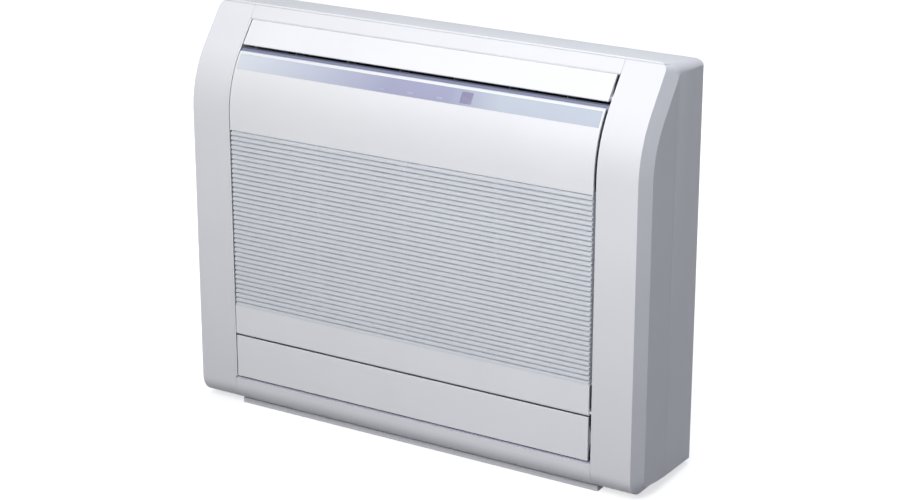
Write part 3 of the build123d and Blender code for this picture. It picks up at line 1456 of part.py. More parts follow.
# Switch panel on the frame, with the emergency button and the outlet selector
SWITCH_FACE = skin_plane(SWITCH_X, SWITCH_Z, FRAME_INSET - SWITCH_THICK)
BUTTON_X = -SWITCH_W / 4
KNOB_X = SWITCH_W / 4
BUTTON_SUNK = SWITCH_THICK - BUTTON_TRAVEL - SHELL_GAP
with BuildPart() as switch_panel:
    with BuildSketch(SWITCH_FACE):
        RectangleRounded(SWITCH_W, SWITCH_H, EDGE_R * 3)
    extrude(amount=-SWITCH_THICK - SWITCH_H / 8)
    add(frame_block(), mode=Mode.SUBTRACT)
    with BuildSketch(SWITCH_FACE):
        with Locations((BUTTON_X, 0)):
            Circle(BUTTON_R + SHELL_GAP)
    extrude(amount=-SWITCH_THICK - SWITCH_H / 8, mode=Mode.SUBTRACT)
    with BuildSketch(SWITCH_FACE):
        with Locations((KNOB_X, 0)):
            Rectangle(KNOB_W + KNOB_TRAVEL + 2 * SHELL_GAP, KNOB_H + 2 * SHELL_GAP)
    extrude(amount=-SWITCH_THICK / 2 - SHELL_GAP, mode=Mode.SUBTRACT)
save(switch_panel, "switch_panel")

with BuildPart() as manual_button:
    with BuildSketch(SWITCH_FACE.offset(-BUTTON_SUNK)):
        with Locations((BUTTON_X, 0)):
            Circle(BUTTON_R)
    extrude(amount=BUTTON_SUNK + BUTTON_PROUD)
    fillet(manual_button.edges().filter_by(GeomType.CIRCLE).sort_by(Axis.Y)[0], EDGE_R)
save(manual_button, "manual_button")

with BuildPart() as outlet_switch_knob:
    with BuildSketch(SWITCH_FACE.offset(-SWITCH_THICK / 2)):
        with Locations((KNOB_X - KNOB_TRAVEL / 2, 0)):
            Rectangle(KNOB_W, KNOB_H)
    extrude(amount=SWITCH_THICK / 2 + BUTTON_PROUD * 2 / 3)
save(outlet_switch_knob, "outlet_switch_knob")

# Indicator board behind the lamps
INDICATOR_FACE = skin_plane(0, INDICATOR_Z, FRAME_INSET - INDICATOR_THICK)
with BuildPart() as indicator_board:
    with BuildSketch(INDICATOR_FACE):
        Rectangle(INDICATOR_W, INDICATOR_H)
    extrude(amount=-2 * INDICATOR_THICK)
    add(frame_block(), mode=Mode.SUBTRACT)
    with BuildSketch(INDICATOR_FACE):
        with GridLocations(LAMP_PITCH, 1, 3, 1):
            Circle(LED_R)
    extrude(amount=BUTTON_PROUD)
save(indicator_board, "indicator_board")

# Room thermistor in its holder, at the right edge of the window
with BuildPart() as room_thermistor:
    with BuildSketch(Plane.XZ.offset(-FRONT_Y - FRAME_INSET)):
        with Locations((THERMISTOR_X, THERMISTOR_Z)):
            RectangleRounded(4 * BULB_R, 8 * BULB_R, EDGE_R)
    extrude(amount=BULB_R)
    with BuildSketch(Plane.XY.offset(THERMISTOR_Z)):
        with Locations((THERMISTOR_X, FRONT_Y + FRAME_INSET - BULB_R)):
            Circle(BULB_R - SHELL_GAP)
    extrude(amount=6 * BULB_R, both=True)
save(room_thermistor, "room_thermistor")

# Screws that hold the frame on the end wall flanges
with BuildPart() as frame_screws:
    with BuildSketch(Plane.XZ.offset(-FRONT_Y - FRAME_INSET)):
        with Locations([(side * SCREW_X, z) for side in (-1, 1) for z in SCREW_ZS]):
            Circle(SCREW_HEAD_R)
    extrude(amount=SCREW_HEAD)
    with BuildSketch(Plane.XZ.offset(-FRONT_Y - FRAME_INSET)):
        with Locations([(side * SCREW_X, z) for side in (-1, 1) for z in SCREW_ZS]):
            Circle(SCREW_R)
    extrude(amount=-3 * FRAME_THICK)
    with BuildSketch(Plane.XZ.offset(SCREW_HEAD - FRONT_Y - FRAME_INSET)):
        with Locations([(side * SCREW_X, z) for side in (-1, 1) for z in SCREW_ZS]):
            Rectangle(SCREW_HEAD_R, EDGE_R)
            Rectangle(EDGE_R, SCREW_HEAD_R)
    extrude(amount=-SCREW_HEAD / 2, mode=Mode.SUBTRACT)
save(frame_screws, "frame_screws")
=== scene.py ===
"""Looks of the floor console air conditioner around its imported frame. Metres; +Z up, front at -Y."""
import json
import math

import bmesh
import bpy
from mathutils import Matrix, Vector


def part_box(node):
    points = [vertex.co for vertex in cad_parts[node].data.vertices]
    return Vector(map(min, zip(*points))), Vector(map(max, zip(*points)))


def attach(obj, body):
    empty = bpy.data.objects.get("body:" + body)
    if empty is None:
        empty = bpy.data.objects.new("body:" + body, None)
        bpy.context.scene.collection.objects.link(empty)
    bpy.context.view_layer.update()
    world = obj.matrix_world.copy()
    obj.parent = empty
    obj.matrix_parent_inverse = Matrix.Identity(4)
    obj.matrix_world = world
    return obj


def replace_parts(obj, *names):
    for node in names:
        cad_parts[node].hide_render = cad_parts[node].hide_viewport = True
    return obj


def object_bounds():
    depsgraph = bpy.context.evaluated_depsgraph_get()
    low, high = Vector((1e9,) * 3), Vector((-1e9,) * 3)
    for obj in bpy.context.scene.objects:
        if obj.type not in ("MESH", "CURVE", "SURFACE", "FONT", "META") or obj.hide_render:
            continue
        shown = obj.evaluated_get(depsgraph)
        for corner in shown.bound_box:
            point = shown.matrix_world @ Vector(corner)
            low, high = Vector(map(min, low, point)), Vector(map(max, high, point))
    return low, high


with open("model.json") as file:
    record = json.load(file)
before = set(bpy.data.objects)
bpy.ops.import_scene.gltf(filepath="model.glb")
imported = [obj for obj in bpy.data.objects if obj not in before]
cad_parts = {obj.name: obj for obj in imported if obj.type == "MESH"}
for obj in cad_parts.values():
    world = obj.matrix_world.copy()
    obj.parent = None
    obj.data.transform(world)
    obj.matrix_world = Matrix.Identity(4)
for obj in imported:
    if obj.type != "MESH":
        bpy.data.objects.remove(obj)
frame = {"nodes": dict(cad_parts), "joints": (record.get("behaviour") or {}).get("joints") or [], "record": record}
cad_box = [list(corner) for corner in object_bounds()]
NODES = frame["nodes"]
SUBPARTS = {entry["node"]: entry for entry in frame["record"]["subparts"]}

# Camera: place in metres, turn to the left of +Y and tilt below the horizon in radians, and lens
# and sensor width in millimetres
CAMERA_AT = (1.6363, -2.6305, 1.3436)
CAMERA_AZIMUTH = 0.5528
CAMERA_ELEVATION = 0.3330
CAMERA_LENS = 92.07
CAMERA_SENSOR = 36

MM = 0.001
EDGE_RADIUS = 0.6 * MM
GRAIN_DEPTH = 0.05 * MM

# Colours, linear
CASING = (0.80, 0.81, 0.83)
MOVING = (0.85, 0.86, 0.875)
SLAT = (0.76, 0.79, 0.83)
BASE = (0.72, 0.73, 0.76)
INNER = (0.42, 0.45, 0.50)
DUCT = (0.42, 0.45, 0.53)
# Outlet sill: painted shade at the lower edge of the slot under the flap
OUTLET_SILL_SHADE = (0.24, 0.26, 0.39)
# Base sill: painted shade in the gap under the louver
BASE_SILL_SHADE = (0.42, 0.43, 0.54)
# Slot back: painted shade inside the slot under the flap
SLOT_BACK_SHADE = (0.10, 0.115, 0.165)
ROTOR = (0.018, 0.020, 0.024)
SMALL_DARK = (0.07, 0.075, 0.09)
TERMINAL = (0.012, 0.012, 0.014)
BOARD = (0.010, 0.085, 0.030)
RUBBER = (0.008, 0.008, 0.009)
MOTOR = (0.020, 0.022, 0.026)
SHEET_STEEL = (0.52, 0.53, 0.55)
SHAFT_STEEL = (0.48, 0.48, 0.49)
COPPER = (0.72, 0.32, 0.16)
# Dark of the fin gaps: painted shade between the fins
FIN_GAP_SHADE = (0.10, 0.11, 0.12)
FIN_LIGHT = (0.66, 0.68, 0.70)
FILTER = (0.16, 0.20, 0.27)
CLEANER = (0.05, 0.09, 0.06)
# Strip tones over its silver: painted reflections along its length
STRIP_PALE_REFLECTION = (0.70, 0.74, 0.80)
STRIP_VIOLET_REFLECTION = (0.38, 0.39, 0.54)
STRIP_BRIGHT_REFLECTION = (0.53, 0.58, 0.66)
WINDOW = (0.36, 0.34, 0.50)
LENS = (0.52, 0.53, 0.68)
FLOOR_LIT = (0.12, 0.12, 0.15)
FLOOR_SEEN = (0.62, 0.63, 0.65)

# Display strip: reach of its painted reflections to each side, and where along it the reflected colours stand
STRIP_REACH = 0.29
STRIP_REFLECTION_STOPS = [
    (0.0, STRIP_PALE_REFLECTION),
    (0.44, STRIP_VIOLET_REFLECTION),
    (0.6, STRIP_VIOLET_REFLECTION),
    (0.74, STRIP_BRIGHT_REFLECTION),
    (1.0, STRIP_BRIGHT_REFLECTION),
]

# A wave texture of scale 1 runs through this many radians in one metre
WAVE_RADIANS = 20


class Nodes:
    """Short way to build one material's node tree."""

    def __init__(self, name):
        self.material = bpy.data.materials.new(name)
        self.material.use_nodes = True
        self.tree = self.material.node_tree
        self.shader = self.tree.nodes["Principled BSDF"]

    def add(self, kind, **values):
        """New node; each value goes to its attribute of that name, or else to that input."""
        node = self.tree.nodes.new(kind)
        for key, value in values.items():
            if hasattr(node, key):
                setattr(node, key, value)
            else:
                node.inputs[key.replace("_", " ")].default_value = value
        return node

    def link(self, source, target):
        self.tree.links.new(source, target)


def place(nodes, scale):
    """Object coordinates stretched by a scale on each axis."""
    coordinates = nodes.add("ShaderNodeTexCoord")
    mapping = nodes.add("ShaderNodeMapping")
    mapping.inputs["Scale"].default_value = scale
    nodes.link(coordinates.outputs["Object"], mapping.inputs["Vector"])
    return mapping.outputs["Vector"]


def noise(nodes, vector, scale, detail=2.0):
    texture = nodes.add("ShaderNodeTexNoise", Scale=scale, Detail=detail)
    nodes.link(vector, texture.inputs["Vector"])
    return texture.outputs["Fac"]


def ramp(nodes, source, stops):
    """Colour ramp with (place, colour) stops."""
    node = nodes.add("ShaderNodeValToRGB")
    node.color_ramp.elements[0].position = stops[0][0]
    node.color_ramp.elements[0].color = (*stops[0][1], 1)
    node.color_ramp.elements[1].position = stops[-1][0]
    node.color_ramp.elements[1].color = (*stops[-1][1], 1)
    for position, colour in stops[1:-1]:
        node.color_ramp.elements.new(position).color = (*colour, 1)
    nodes.link(source, node.inputs["Fac"])
    return node.outputs["Color"]


def spread(nodes, source, low, high):
    """A 0 to 1 value spread between two limits."""
    node = nodes.add("ShaderNodeMapRange")
    node.inputs["To Min"].default_value = low
    node.inputs["To Max"].default_value = high
    nodes.link(source, node.inputs["Value"])
    return node.outputs["Result"]


def rounded_bump(nodes, height, strength, distance, radius=EDGE_RADIUS):
    """Fine bump over edges that catch the light as if they were slightly rounded."""
    edge = nodes.add("ShaderNodeBevel", samples=4)
    edge.inputs["Radius"].default_value = radius
    bump = nodes.add("ShaderNodeBump", Strength=strength, Distance=distance)
    nodes.link(height, bump.inputs["Height"])
    nodes.link(edge.outputs["Normal"], bump.inputs["Normal"])
    nodes.link(bump.outputs["Normal"], nodes.shader.inputs["Normal"])


def shade(colour, factor):
    return tuple(channel * factor for channel in colour)


def plastic(name, colour, rough=0.42, grain=900.0, variation=0.03):
    """Moulded plastic: faint cloudiness, a fine spark-eroded grain and soft edges."""
    nodes = Nodes(name)
    vector = place(nodes, (1, 1, 1))
    cloud = noise(nodes, vector, scale=9.0, detail=3.0)
    tint = ramp(nodes, cloud, [(0.3, shade(colour, 1 - variation)), (0.7, colour)])
    nodes.link(tint, nodes.shader.inputs["Base Color"])
    wear = noise(nodes, vector, scale=60.0, detail=4.0)
    nodes.link(spread(nodes, wear, rough - 0.06, rough + 0.06), nodes.shader.inputs["Roughness"])
    rounded_bump(nodes, noise(nodes, vector, scale=grain), strength=0.10, distance=GRAIN_DEPTH)
    nodes.shader.inputs["IOR"].default_value = 1.5
    return nodes.material


def metal(name, colour, rough, grain):
    """Bare metal with a faint directional grain."""
    nodes = Nodes(name)
    vector = place(nodes, grain)
    streak = noise(nodes, vector, scale=400.0, detail=3.0)
    tint = ramp(nodes, streak, [(0.25, shade(colour, 0.88)), (0.75, colour)])
    nodes.link(tint, nodes.shader.inputs["Base Color"])
    nodes.link(spread(nodes, streak, rough - 0.08, rough + 0.1), nodes.shader.inputs["Roughness"])
    rounded_bump(nodes, streak, strength=0.08, distance=GRAIN_DEPTH)
    nodes.shader.inputs["Metallic"].default_value = 1.0
    return nodes.material


def fins():
    """Close upright aluminium fins, drawn as fine dark lines along X: painted shade in the gaps between the fins.
    """
    nodes = Nodes("fin_aluminium")
    coordinates = nodes.add("ShaderNodeTexCoord")
    wave = nodes.add("ShaderNodeTexWave", Scale=120.0, bands_direction="X")
    nodes.link(coordinates.outputs["Object"], wave.inputs["Vector"])
    # Dark bands: painted shade between the fins
    tint = ramp(nodes, wave.outputs["Fac"], [(0.35, FIN_GAP_SHADE), (0.6, FIN_LIGHT)])
    nodes.link(tint, nodes.shader.inputs["Base Color"])
    rounded_bump(nodes, wave.outputs["Fac"], strength=0.5, distance=0.4 * MM)
    nodes.shader.inputs["Metallic"].default_value = 0.8
    nodes.shader.inputs["Roughness"].default_value = 0.45
    return nodes.material


def mesh_cloth(name, colour, thread):
    """Fine square mesh: light threads over holes, each about one thread wide; the holes' dark is painted shade
    behind the mesh.
    """
    nodes = Nodes(name)
    coordinates = nodes.add("ShaderNodeTexCoord")
    threads = []
    for direction in ("X", "Z"):
        wave = nodes.add("ShaderNodeTexWave", bands_direction=direction)
        wave.inputs["Scale"].default_value = math.pi / (WAVE_RADIANS * thread)
        nodes.link(coordinates.outputs["Object"], wave.inputs["Vector"])
        threads.append(wave.outputs["Fac"])
    woven = nodes.add("ShaderNodeMath", operation="MAXIMUM")
    nodes.link(threads[0], woven.inputs[0])
    nodes.link(threads[1], woven.inputs[1])
    # Holes: painted shade, a quarter of the thread colour
    tint = ramp(nodes, woven.outputs[0], [(0.55, shade(colour, 0.25)), (0.85, colour)])
    nodes.link(tint, nodes.shader.inputs["Base Color"])
    rounded_bump(nodes, woven.outputs[0], strength=0.6, distance=0.3 * MM)
    nodes.shader.inputs["Roughness"].default_value = 0.7
    return nodes.material


def strip_with_painted_reflection():
    """Pearl silver strip with painted reflections that turn it violet near the middle and pale again to the right.
    """
    nodes = Nodes("silver_strip")
    coordinates = nodes.add("ShaderNodeTexCoord")
    split = nodes.add("ShaderNodeSeparateXYZ")
    nodes.link(coordinates.outputs["Object"], split.inputs["Vector"])
    across = nodes.add("ShaderNodeMapRange")
    across.inputs["From Min"].default_value = -STRIP_REACH
    across.inputs["From Max"].default_value = STRIP_REACH
    nodes.link(split.outputs["X"], across.inputs["Value"])
    # Painted reflections along the strip, over its silver
    tint = ramp(nodes, across.outputs["Result"], STRIP_REFLECTION_STOPS)
    nodes.link(tint, nodes.shader.inputs["Base Color"])
    flake = nodes.add("ShaderNodeTexVoronoi", Scale=2500.0)
    nodes.link(coordinates.outputs["Object"], flake.inputs["Vector"])
    rough = spread(nodes, flake.outputs["Distance"], 0.38, 0.50)
    nodes.link(rough, nodes.shader.inputs["Roughness"])
    rounded_bump(nodes, flake.outputs["Distance"], strength=0.03, distance=0.02 * MM, radius=0.2 * MM)
    nodes.shader.inputs["Specular IOR Level"].default_value = 0.35
    nodes.shader.inputs["Coat Weight"].default_value = 0.12
    nodes.shader.inputs["Coat Roughness"].default_value = 0.3
    return nodes.material


def smoked(name, colour, rough):
    """Clear-coated tinted plastic window."""
    nodes = Nodes(name)
    vector = place(nodes, (1, 1, 1))
    cloud = noise(nodes, vector, scale=80.0)
    tint = ramp(nodes, cloud, [(0.3, shade(colour, 0.85)), (0.7, colour)])
    nodes.link(tint, nodes.shader.inputs["Base Color"])
    nodes.link(spread(nodes, cloud, rough, rough + 0.06), nodes.shader.inputs["Roughness"])
    nodes.shader.inputs["Coat Weight"].default_value = 0.8
    nodes.shader.inputs["Coat Roughness"].default_value = 0.05
    return nodes.material


PLASTICS = {
    "casing_white": {"colour": CASING},
    "moving_white": {"colour": MOVING, "rough": 0.38},
    "slat_white": {"colour": SLAT, "rough": 0.45},
    "base_white": {"colour": BASE, "rough": 0.5},
    "inner_plastic": {"colour": INNER, "rough": 0.55},
    "duct_plastic": {"colour": DUCT, "rough": 0.5, "variation": 0.2},
    "rotor_plastic": {"colour": ROTOR, "rough": 0.5, "variation": 0.2},
    "small_dark": {"colour": SMALL_DARK, "rough": 0.45},
    "terminal_black": {"colour": TERMINAL, "rough": 0.4},
    "board_green": {"colour": BOARD, "rough": 0.35, "variation": 0.3},
    "rubber": {"colour": RUBBER, "rough": 0.75, "grain": 500.0},
    "motor_paint": {"colour": MOTOR, "rough": 0.3, "grain": 300.0},
}
METALS = {
    "sheet_steel": {"colour": SHEET_STEEL, "rough": 0.42, "grain": (0.3, 0.3, 3)},
    "shaft_steel": {"colour": SHAFT_STEEL, "rough": 0.25, "grain": (3, 1, 1)},
    "copper": {"colour": COPPER, "rough": 0.3, "grain": (1, 1, 1)},
}
MATERIALS = {name: plastic(name, **look) for name, look in PLASTICS.items()}
MATERIALS.update({name: metal(name, **look) for name, look in METALS.items()})
MATERIALS["fin_aluminium"] = fins()
MATERIALS["filter_mesh"] = mesh_cloth("filter_mesh", FILTER, thread=1.2 * MM)
MATERIALS["cleaner_media"] = mesh_cloth("cleaner_media", CLEANER, thread=3 * MM)
MATERIALS["silver_strip"] = strip_with_painted_reflection()
MATERIALS["violet_window"] = smoked("violet_window", WINDOW, rough=0.12)
MATERIALS["lamp_lens"] = smoked("lamp_lens", LENS, rough=0.25)

for node, entry in SUBPARTS.items():
    mesh = NODES[node].data
    mesh.materials.clear()
    mesh.materials.append(MATERIALS[entry["material_slot"]])


# Casing shell: the side covers and the rear case with round top corners and a low side edge.
# Lengths in this section are millimetres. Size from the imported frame, body's rear face, wall
HALF_WIDTH = cad_box[1][0] / MM
FRONT_Y = cad_box[0][1] / MM
TOP_Z = cad_box[1][2] / MM
BODY_REAR_Y = 74.0
WALL = 2.5

# Side profile: front arc, inclined face, top that falls to the rear, and the bottom's front corner
FRONT_ARC_R = 150.0
FRONT_ARC_Z = 450.0
INCLINE = math.radians(38.0)
TOP_FALL = 15.0
BOTTOM_Z = 8.0
BOTTOM_R = 30.0

# The bottom rises between these two depths to the side's lower edge, which falls to the rear
RAMP_Y = (-59.0, -41.0)
SIDE_LOW_FRONT = 19.0
SIDE_LOW_REAR = 9.0

# Bevel between face and side, and the round corners: inclined face, top seen from the front, rear.
# The bevel's block gains TOP_GROW in height for each millimetre that it goes in
BEVEL_WIDTH = 10.5
BEVEL_DEPTH = 21.6
BEVEL_SLANT = math.hypot(BEVEL_WIDTH, BEVEL_DEPTH)
BEVEL_RISE = 11.0
FACE_CORNER_R = 13.0
LEAST_CORNER_R = 0.5
TOP_CORNER_R = 20.0
TOP_GROW = 0.7
REAR_TAPER = 4.0
REAR_CORNER_R = 6.0

# Blocks that cut reach past the casing: BEYOND up, down, forward and back, FAR sideways and inward.
# The bevel's block starts in front of the inclined face, and its low end is under the floor
BEYOND = 200.0
FAR = 600.0
BEVEL_BLOCK_FRONT = 10.0
BEVEL_BLOCK_LOW = -1600.0

# Straight pieces in each kind of arc, and points round a pin hole
SKIN_STEPS = 20
FOOT_STEPS = 8
TOP_STEPS = 12
CORNER_STEPS = 6
HOLE_POINTS = 24

# Side covers: gap to the rear case, inner side, rear end, and the depth of their inner wall behind
# the upright and the inclined face. An edge keeps sharp shading from SHARP_ANGLE up
COVER_GAP = 0.3
COLUMN_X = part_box("right_side_cover")[0][0] / MM
COVER_REAR_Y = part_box("right_side_cover")[1][1] / MM
CASE_FRONT_Y = COVER_REAR_Y + COVER_GAP
COLUMN_RETURN = 48.0
COLUMN_RETURN_TOP = 34.0
PIN_HOLE_R = {"intake_grille_hinge": 2.2, "lower_louver_hinge": 2.7, "upper_flap_hinge": 2.4}
SHARP_ANGLE = math.radians(24.0)

# Rear case: shallow box on its back, and the opening for the pipes as centre and size in X and Y
BACK_BOX_HALF = 348.0
BACK_BOX_LOW = 46.0
BACK_BOX_HIGH = 560.0
BACK_BOX_DEPTH = 19.0
BACK_BOX_REAR_Y = BODY_REAR_Y + BACK_BOX_DEPTH
PIPE_HOLE_AT = (-333.5, 26.0)
PIPE_HOLE_SIZE = (44.0, 72.0)
PIPE_HOLE_TOP = 60.0

# Lip of the left cover, which narrows its seam: width, depths under the skin, heights, rear end
LIP_WIDTH = 2.5
LIP_DEPTHS = (0.4, 1.8)
LIP_HEIGHTS = (BOTTOM_Z + 42.0, TOP_Z - 20.5)
LIP_REAR_Y = -25.0

# Ledges in the gaps of the front: heights of their edges and depths under the skin
LEDGE_GAP = 1.0
SILL_HEIGHTS = (539.7, 545.2)
SILL_DEPTHS = (4.8, 6.8)
SLOT_BACK_HEIGHTS = (543.0, 547.4)
SLOT_BACK_DEPTHS = (7.2, 8.2)
BASE_SILL_HEIGHTS = (46.9, 48.9)
BASE_SILL_DEPTHS = (2.6, 12.0)
BEAD_HEIGHTS = (579.8, 581.0)
BEAD_DEPTHS = (0.5, 3.5)

# Directions up and into the inclined face as (y, z), the end of the front arc and the top edge
UP = (math.sin(INCLINE), math.cos(INCLINE))
IN = (math.cos(INCLINE), -math.sin(INCLINE))
ARC_END = (
    FRONT_Y + FRONT_ARC_R * (1 - math.cos(INCLINE)),
    FRONT_ARC_Z + FRONT_ARC_R * math.sin(INCLINE),
)
TOP_EDGE_Y = ARC_END[0] + (TOP_Z - ARC_END[1]) * math.tan(INCLINE)
TOP_SLOPE = TOP_FALL / (BODY_REAR_Y - TOP_EDGE_Y)


def top_z(y, inset=0.0):
    """Height of the top at a depth, set in by inset."""
    return TOP_Z - (y - TOP_EDGE_Y) * TOP_SLOPE - inset * math.hypot(1, TOP_SLOPE)


def side_low_z(y, inset):
    """Height of the side's lower edge, which falls a little to the rear."""
    share = (y - FRONT_Y - BEVEL_DEPTH) / (BODY_REAR_Y - FRONT_Y - BEVEL_DEPTH)
    return SIDE_LOW_FRONT + (SIDE_LOW_REAR - SIDE_LOW_FRONT) * share + inset


def incline_point(z, depth):
    """Point under the inclined face, as (y, z), straight in from its skin point at height z."""
    steps = (z - ARC_END[1]) / UP[1]
    return (ARC_END[0] + UP[0] * steps + IN[0] * depth, ARC_END[1] + UP[1] * steps + IN[1] * depth)


def arc(centre, radius, start, end, count):
    """Points on an arc in the plane, by angles in degrees; radius may be a pair."""
    across, along = radius if isinstance(radius, tuple) else (radius, radius)
    angles = [math.radians(start + (end - start) * i / count) for i in range(count + 1)]
    return [(centre[0] + across * math.cos(a), centre[1] + along * math.sin(a)) for a in angles]


def side_outline(front, low, inset):
    """Side profile as (y, z), set in by front, by low at the bottom and by inset elsewhere."""
    skin_centre = (FRONT_Y + FRONT_ARC_R, FRONT_ARC_Z)
    skin = arc(skin_centre, FRONT_ARC_R - front, 180, 180 - math.degrees(INCLINE), SKIN_STEPS)
    last = skin[-1]
    steps = (top_z(last[0], inset) - last[1]) / (UP[1] + UP[0] * TOP_SLOPE)
    top_front = (last[0] + UP[0] * steps, last[1] + UP[1] * steps)
    rear_y = BODY_REAR_Y - inset
    rear = [(rear_y, top_z(rear_y, inset)), (rear_y, side_low_z(rear_y, inset))]
    ramp = [(RAMP_Y[1], side_low_z(RAMP_Y[1], inset)), (RAMP_Y[0], BOTTOM_Z + low)]
    foot_centre = (FRONT_Y + BOTTOM_R, BOTTOM_Z + BOTTOM_R)
    foot = arc(foot_centre, (BOTTOM_R - front, BOTTOM_R - low), 270, 180, FOOT_STEPS)
    return skin + [top_front] + rear + ramp + foot


def solid(name, rings):
    """Closed mesh object through rings of (x, y, z) points, in millimetres."""
    count = len(rings[0])
    points = [Vector(point) * MM for ring in rings for point in ring]
    faces = [tuple(range(count))[::-1], tuple(range(len(points) - count, len(points)))]
    for base in range(0, len(points) - count, count):
        for i in range(count):
            j = (i + 1) % count
            faces.append((base + i, base + j, base + count + j, base + count + i))
    mesh = bpy.data.meshes.new(name)
    mesh.from_pydata(points, [], faces)
    work = bmesh.new()
    work.from_mesh(mesh)
    bmesh.ops.recalc_face_normals(work, faces=work.faces)
    work.to_mesh(mesh)
    work.free()
    piece = bpy.data.objects.new(name, mesh)
    bpy.context.collection.objects.link(piece)
    return piece


def drop(piece):
    """Remove an object and its mesh."""
    mesh = piece.data
    bpy.data.objects.remove(piece)
    bpy.data.meshes.remove(mesh)


def combine(piece, tool, operation):
    """Boolean of piece with tool, kept in piece's own mesh; the tool is removed."""
    cut = piece.modifiers.new("cut", "BOOLEAN")
    cut.operation = operation
    cut.solver = "EXACT"
    cut.object = tool
    bpy.context.view_layer.update()
    evaluated = piece.evaluated_get(bpy.context.evaluated_depsgraph_get())
    made = bpy.data.meshes.new_from_object(evaluated)
    piece.modifiers.remove(cut)
    old = piece.data
    piece.data = made
    bpy.data.meshes.remove(old)
    drop(tool)
    return piece


def prism_x(name, start, end, outline):
    """Block between two X planes with an outline given as (y, z)."""
    return solid(name, [[(x, y, z) for y, z in outline] for x in (start, end)])


def prism_y(name, start, end, outline):
    """Block between two Y planes with an outline given as (x, z)."""
    return solid(name, [[(x, y, z) for x, z in outline] for y in (start, end)])


def prism_z(name, start, end, outline):
    """Block between two Z planes with an outline given as (x, y)."""
    return solid(name, [[(x, y, z) for x, y in outline] for z in (start, end)])


def rounded_top(half, top, radius, low):
    """Outline as (across, up) of a slab with round upper corners."""
    right = arc((half - radius, top - radius), radius, 0, 90, TOP_STEPS)
    left = arc((radius - half, top - radius), radius, 90, 180, TOP_STEPS)
    return [(half, low)] + right + left + [(-half, low)]


def rounded_rectangle(centre, width, height, radius):
    """Outline of a rectangle with round corners."""
    points = []
    for turn, (sx, sy) in enumerate([(1, 1), (-1, 1), (-1, -1), (1, -1)]):
        corner = (centre[0] + sx * (width / 2 - radius), centre[1] + sy * (height / 2 - radius))
        points += arc(corner, radius, 90 * turn, 90 * turn + 90, CORNER_STEPS)
    return points


def bevel_block(inset):
    """Block that widens inward at the bevel's angle, with the round corners of the inclined face."""
    flare = BEVEL_WIDTH / BEVEL_DEPTH
    shrink = inset * math.hypot(1, flare)
    length = (TOP_Z - ARC_END[1]) / UP[1]
    rings = []
    for depth in (-BEVEL_BLOCK_FRONT, FAR):
        grow = flare * depth - shrink
        half = HALF_WIDTH - BEVEL_WIDTH + grow
        top = length - shrink + TOP_GROW * depth
        face = rounded_top(half, top, max(FACE_CORNER_R + grow, LEAST_CORNER_R), BEVEL_BLOCK_LOW)
        ring = []
        for x, along in face:
            y = ARC_END[0] + UP[0] * along + IN[0] * depth
            z = ARC_END[1] + UP[1] * along + IN[1] * depth
            ring.append((x, y, z))
        rings.append(ring)
    return solid("bevel_block", rings)


def casing_block(name, inset):
    """Whole casing as one block, set in by inset."""
    bevel_x = HALF_WIDTH - BEVEL_WIDTH - inset * (BEVEL_SLANT - BEVEL_WIDTH) / BEVEL_DEPTH
    end_x = HALF_WIDTH - inset
    end_front = BEVEL_DEPTH + inset * (BEVEL_SLANT - BEVEL_DEPTH) / BEVEL_WIDTH
    middle = side_outline(inset, inset, inset)
    end = side_outline(end_front, BEVEL_RISE + inset, inset)
    stations = [(-end_x, end), (-bevel_x, middle), (bevel_x, middle), (end_x, end)]
    block = solid(name, [[(x, y, z) for y, z in face] for x, face in stations])
    rings = []
    for y in (FRONT_Y - BEYOND, BODY_REAR_Y + BEYOND):
        face = rounded_top(end_x, top_z(y, inset), TOP_CORNER_R - inset, -BEYOND)
        rings.append([(x, y, z) for x, z in face])
    combine(block, solid("top_corners", rings), "INTERSECT")
    corner = REAR_CORNER_R - inset
    corner_at = (end_x - REAR_TAPER - corner, BODY_REAR_Y - inset - corner)
    plan = [(end_x, FRONT_Y - BEYOND), (end_x, CASE_FRONT_Y)]
    plan += arc(corner_at, corner, 0, 90, CORNER_STEPS)
    plan += [(-x, y) for x, y in reversed(plan)]
    combine(block, prism_z("plan", -BEYOND, TOP_Z + BEYOND, plan), "INTERSECT")
    return combine(block, bevel_block(inset), "INTERSECT")


def hollow_casing(name):
    """Casing shell with its wall's thickness."""
    return combine(casing_block(name, 0), casing_block("hollow", WALL), "DIFFERENCE")


def front_region(rear_y, gap):
    """Section as (y, z) in front of rear_y and under the top, by gap."""
    front_y = FRONT_Y - BEYOND
    return [
        (front_y, -BEYOND),
        (rear_y, -BEYOND),
        (rear_y, top_z(rear_y, gap)),
        (front_y, top_z(front_y, gap)),
    ]


def column_wall():
    """Inner wall of the right column: a band behind the skin, with a hole for each hinge pin."""
    wall = prism_x("wall", COLUMN_X, COLUMN_X + WALL, side_outline(0, 0, 0))
    combine(wall, prism_x("region", 0, FAR, front_region(COVER_REAR_Y, WALL + COVER_GAP)), "INTERSECT")
    edge_y = FRONT_Y + COLUMN_RETURN
    deep = incline_point(TOP_Z + 2 * COLUMN_RETURN_TOP, COLUMN_RETURN_TOP)
    knee = (edge_y, deep[1] - (deep[0] - edge_y) * UP[1] / UP[0])
    behind = [(edge_y, -BEYOND), knee, deep, (BEYOND, deep[1]), (BEYOND, -BEYOND)]
    combine(wall, prism_x("behind", 0, FAR, behind), "DIFFERENCE")
    for joint in frame["joints"]:
        if joint["name"] in PIN_HOLE_R:
            centre = (joint["pos_m"][1] / MM, joint["pos_m"][2] / MM)
            last_angle = 360 - 360 / HOLE_POINTS
            hole = arc(centre, PIN_HOLE_R[joint["name"]], 0, last_angle, HOLE_POINTS - 1)
            combine(wall, prism_x("hole", 0, FAR, hole), "DIFFERENCE")
    return wall


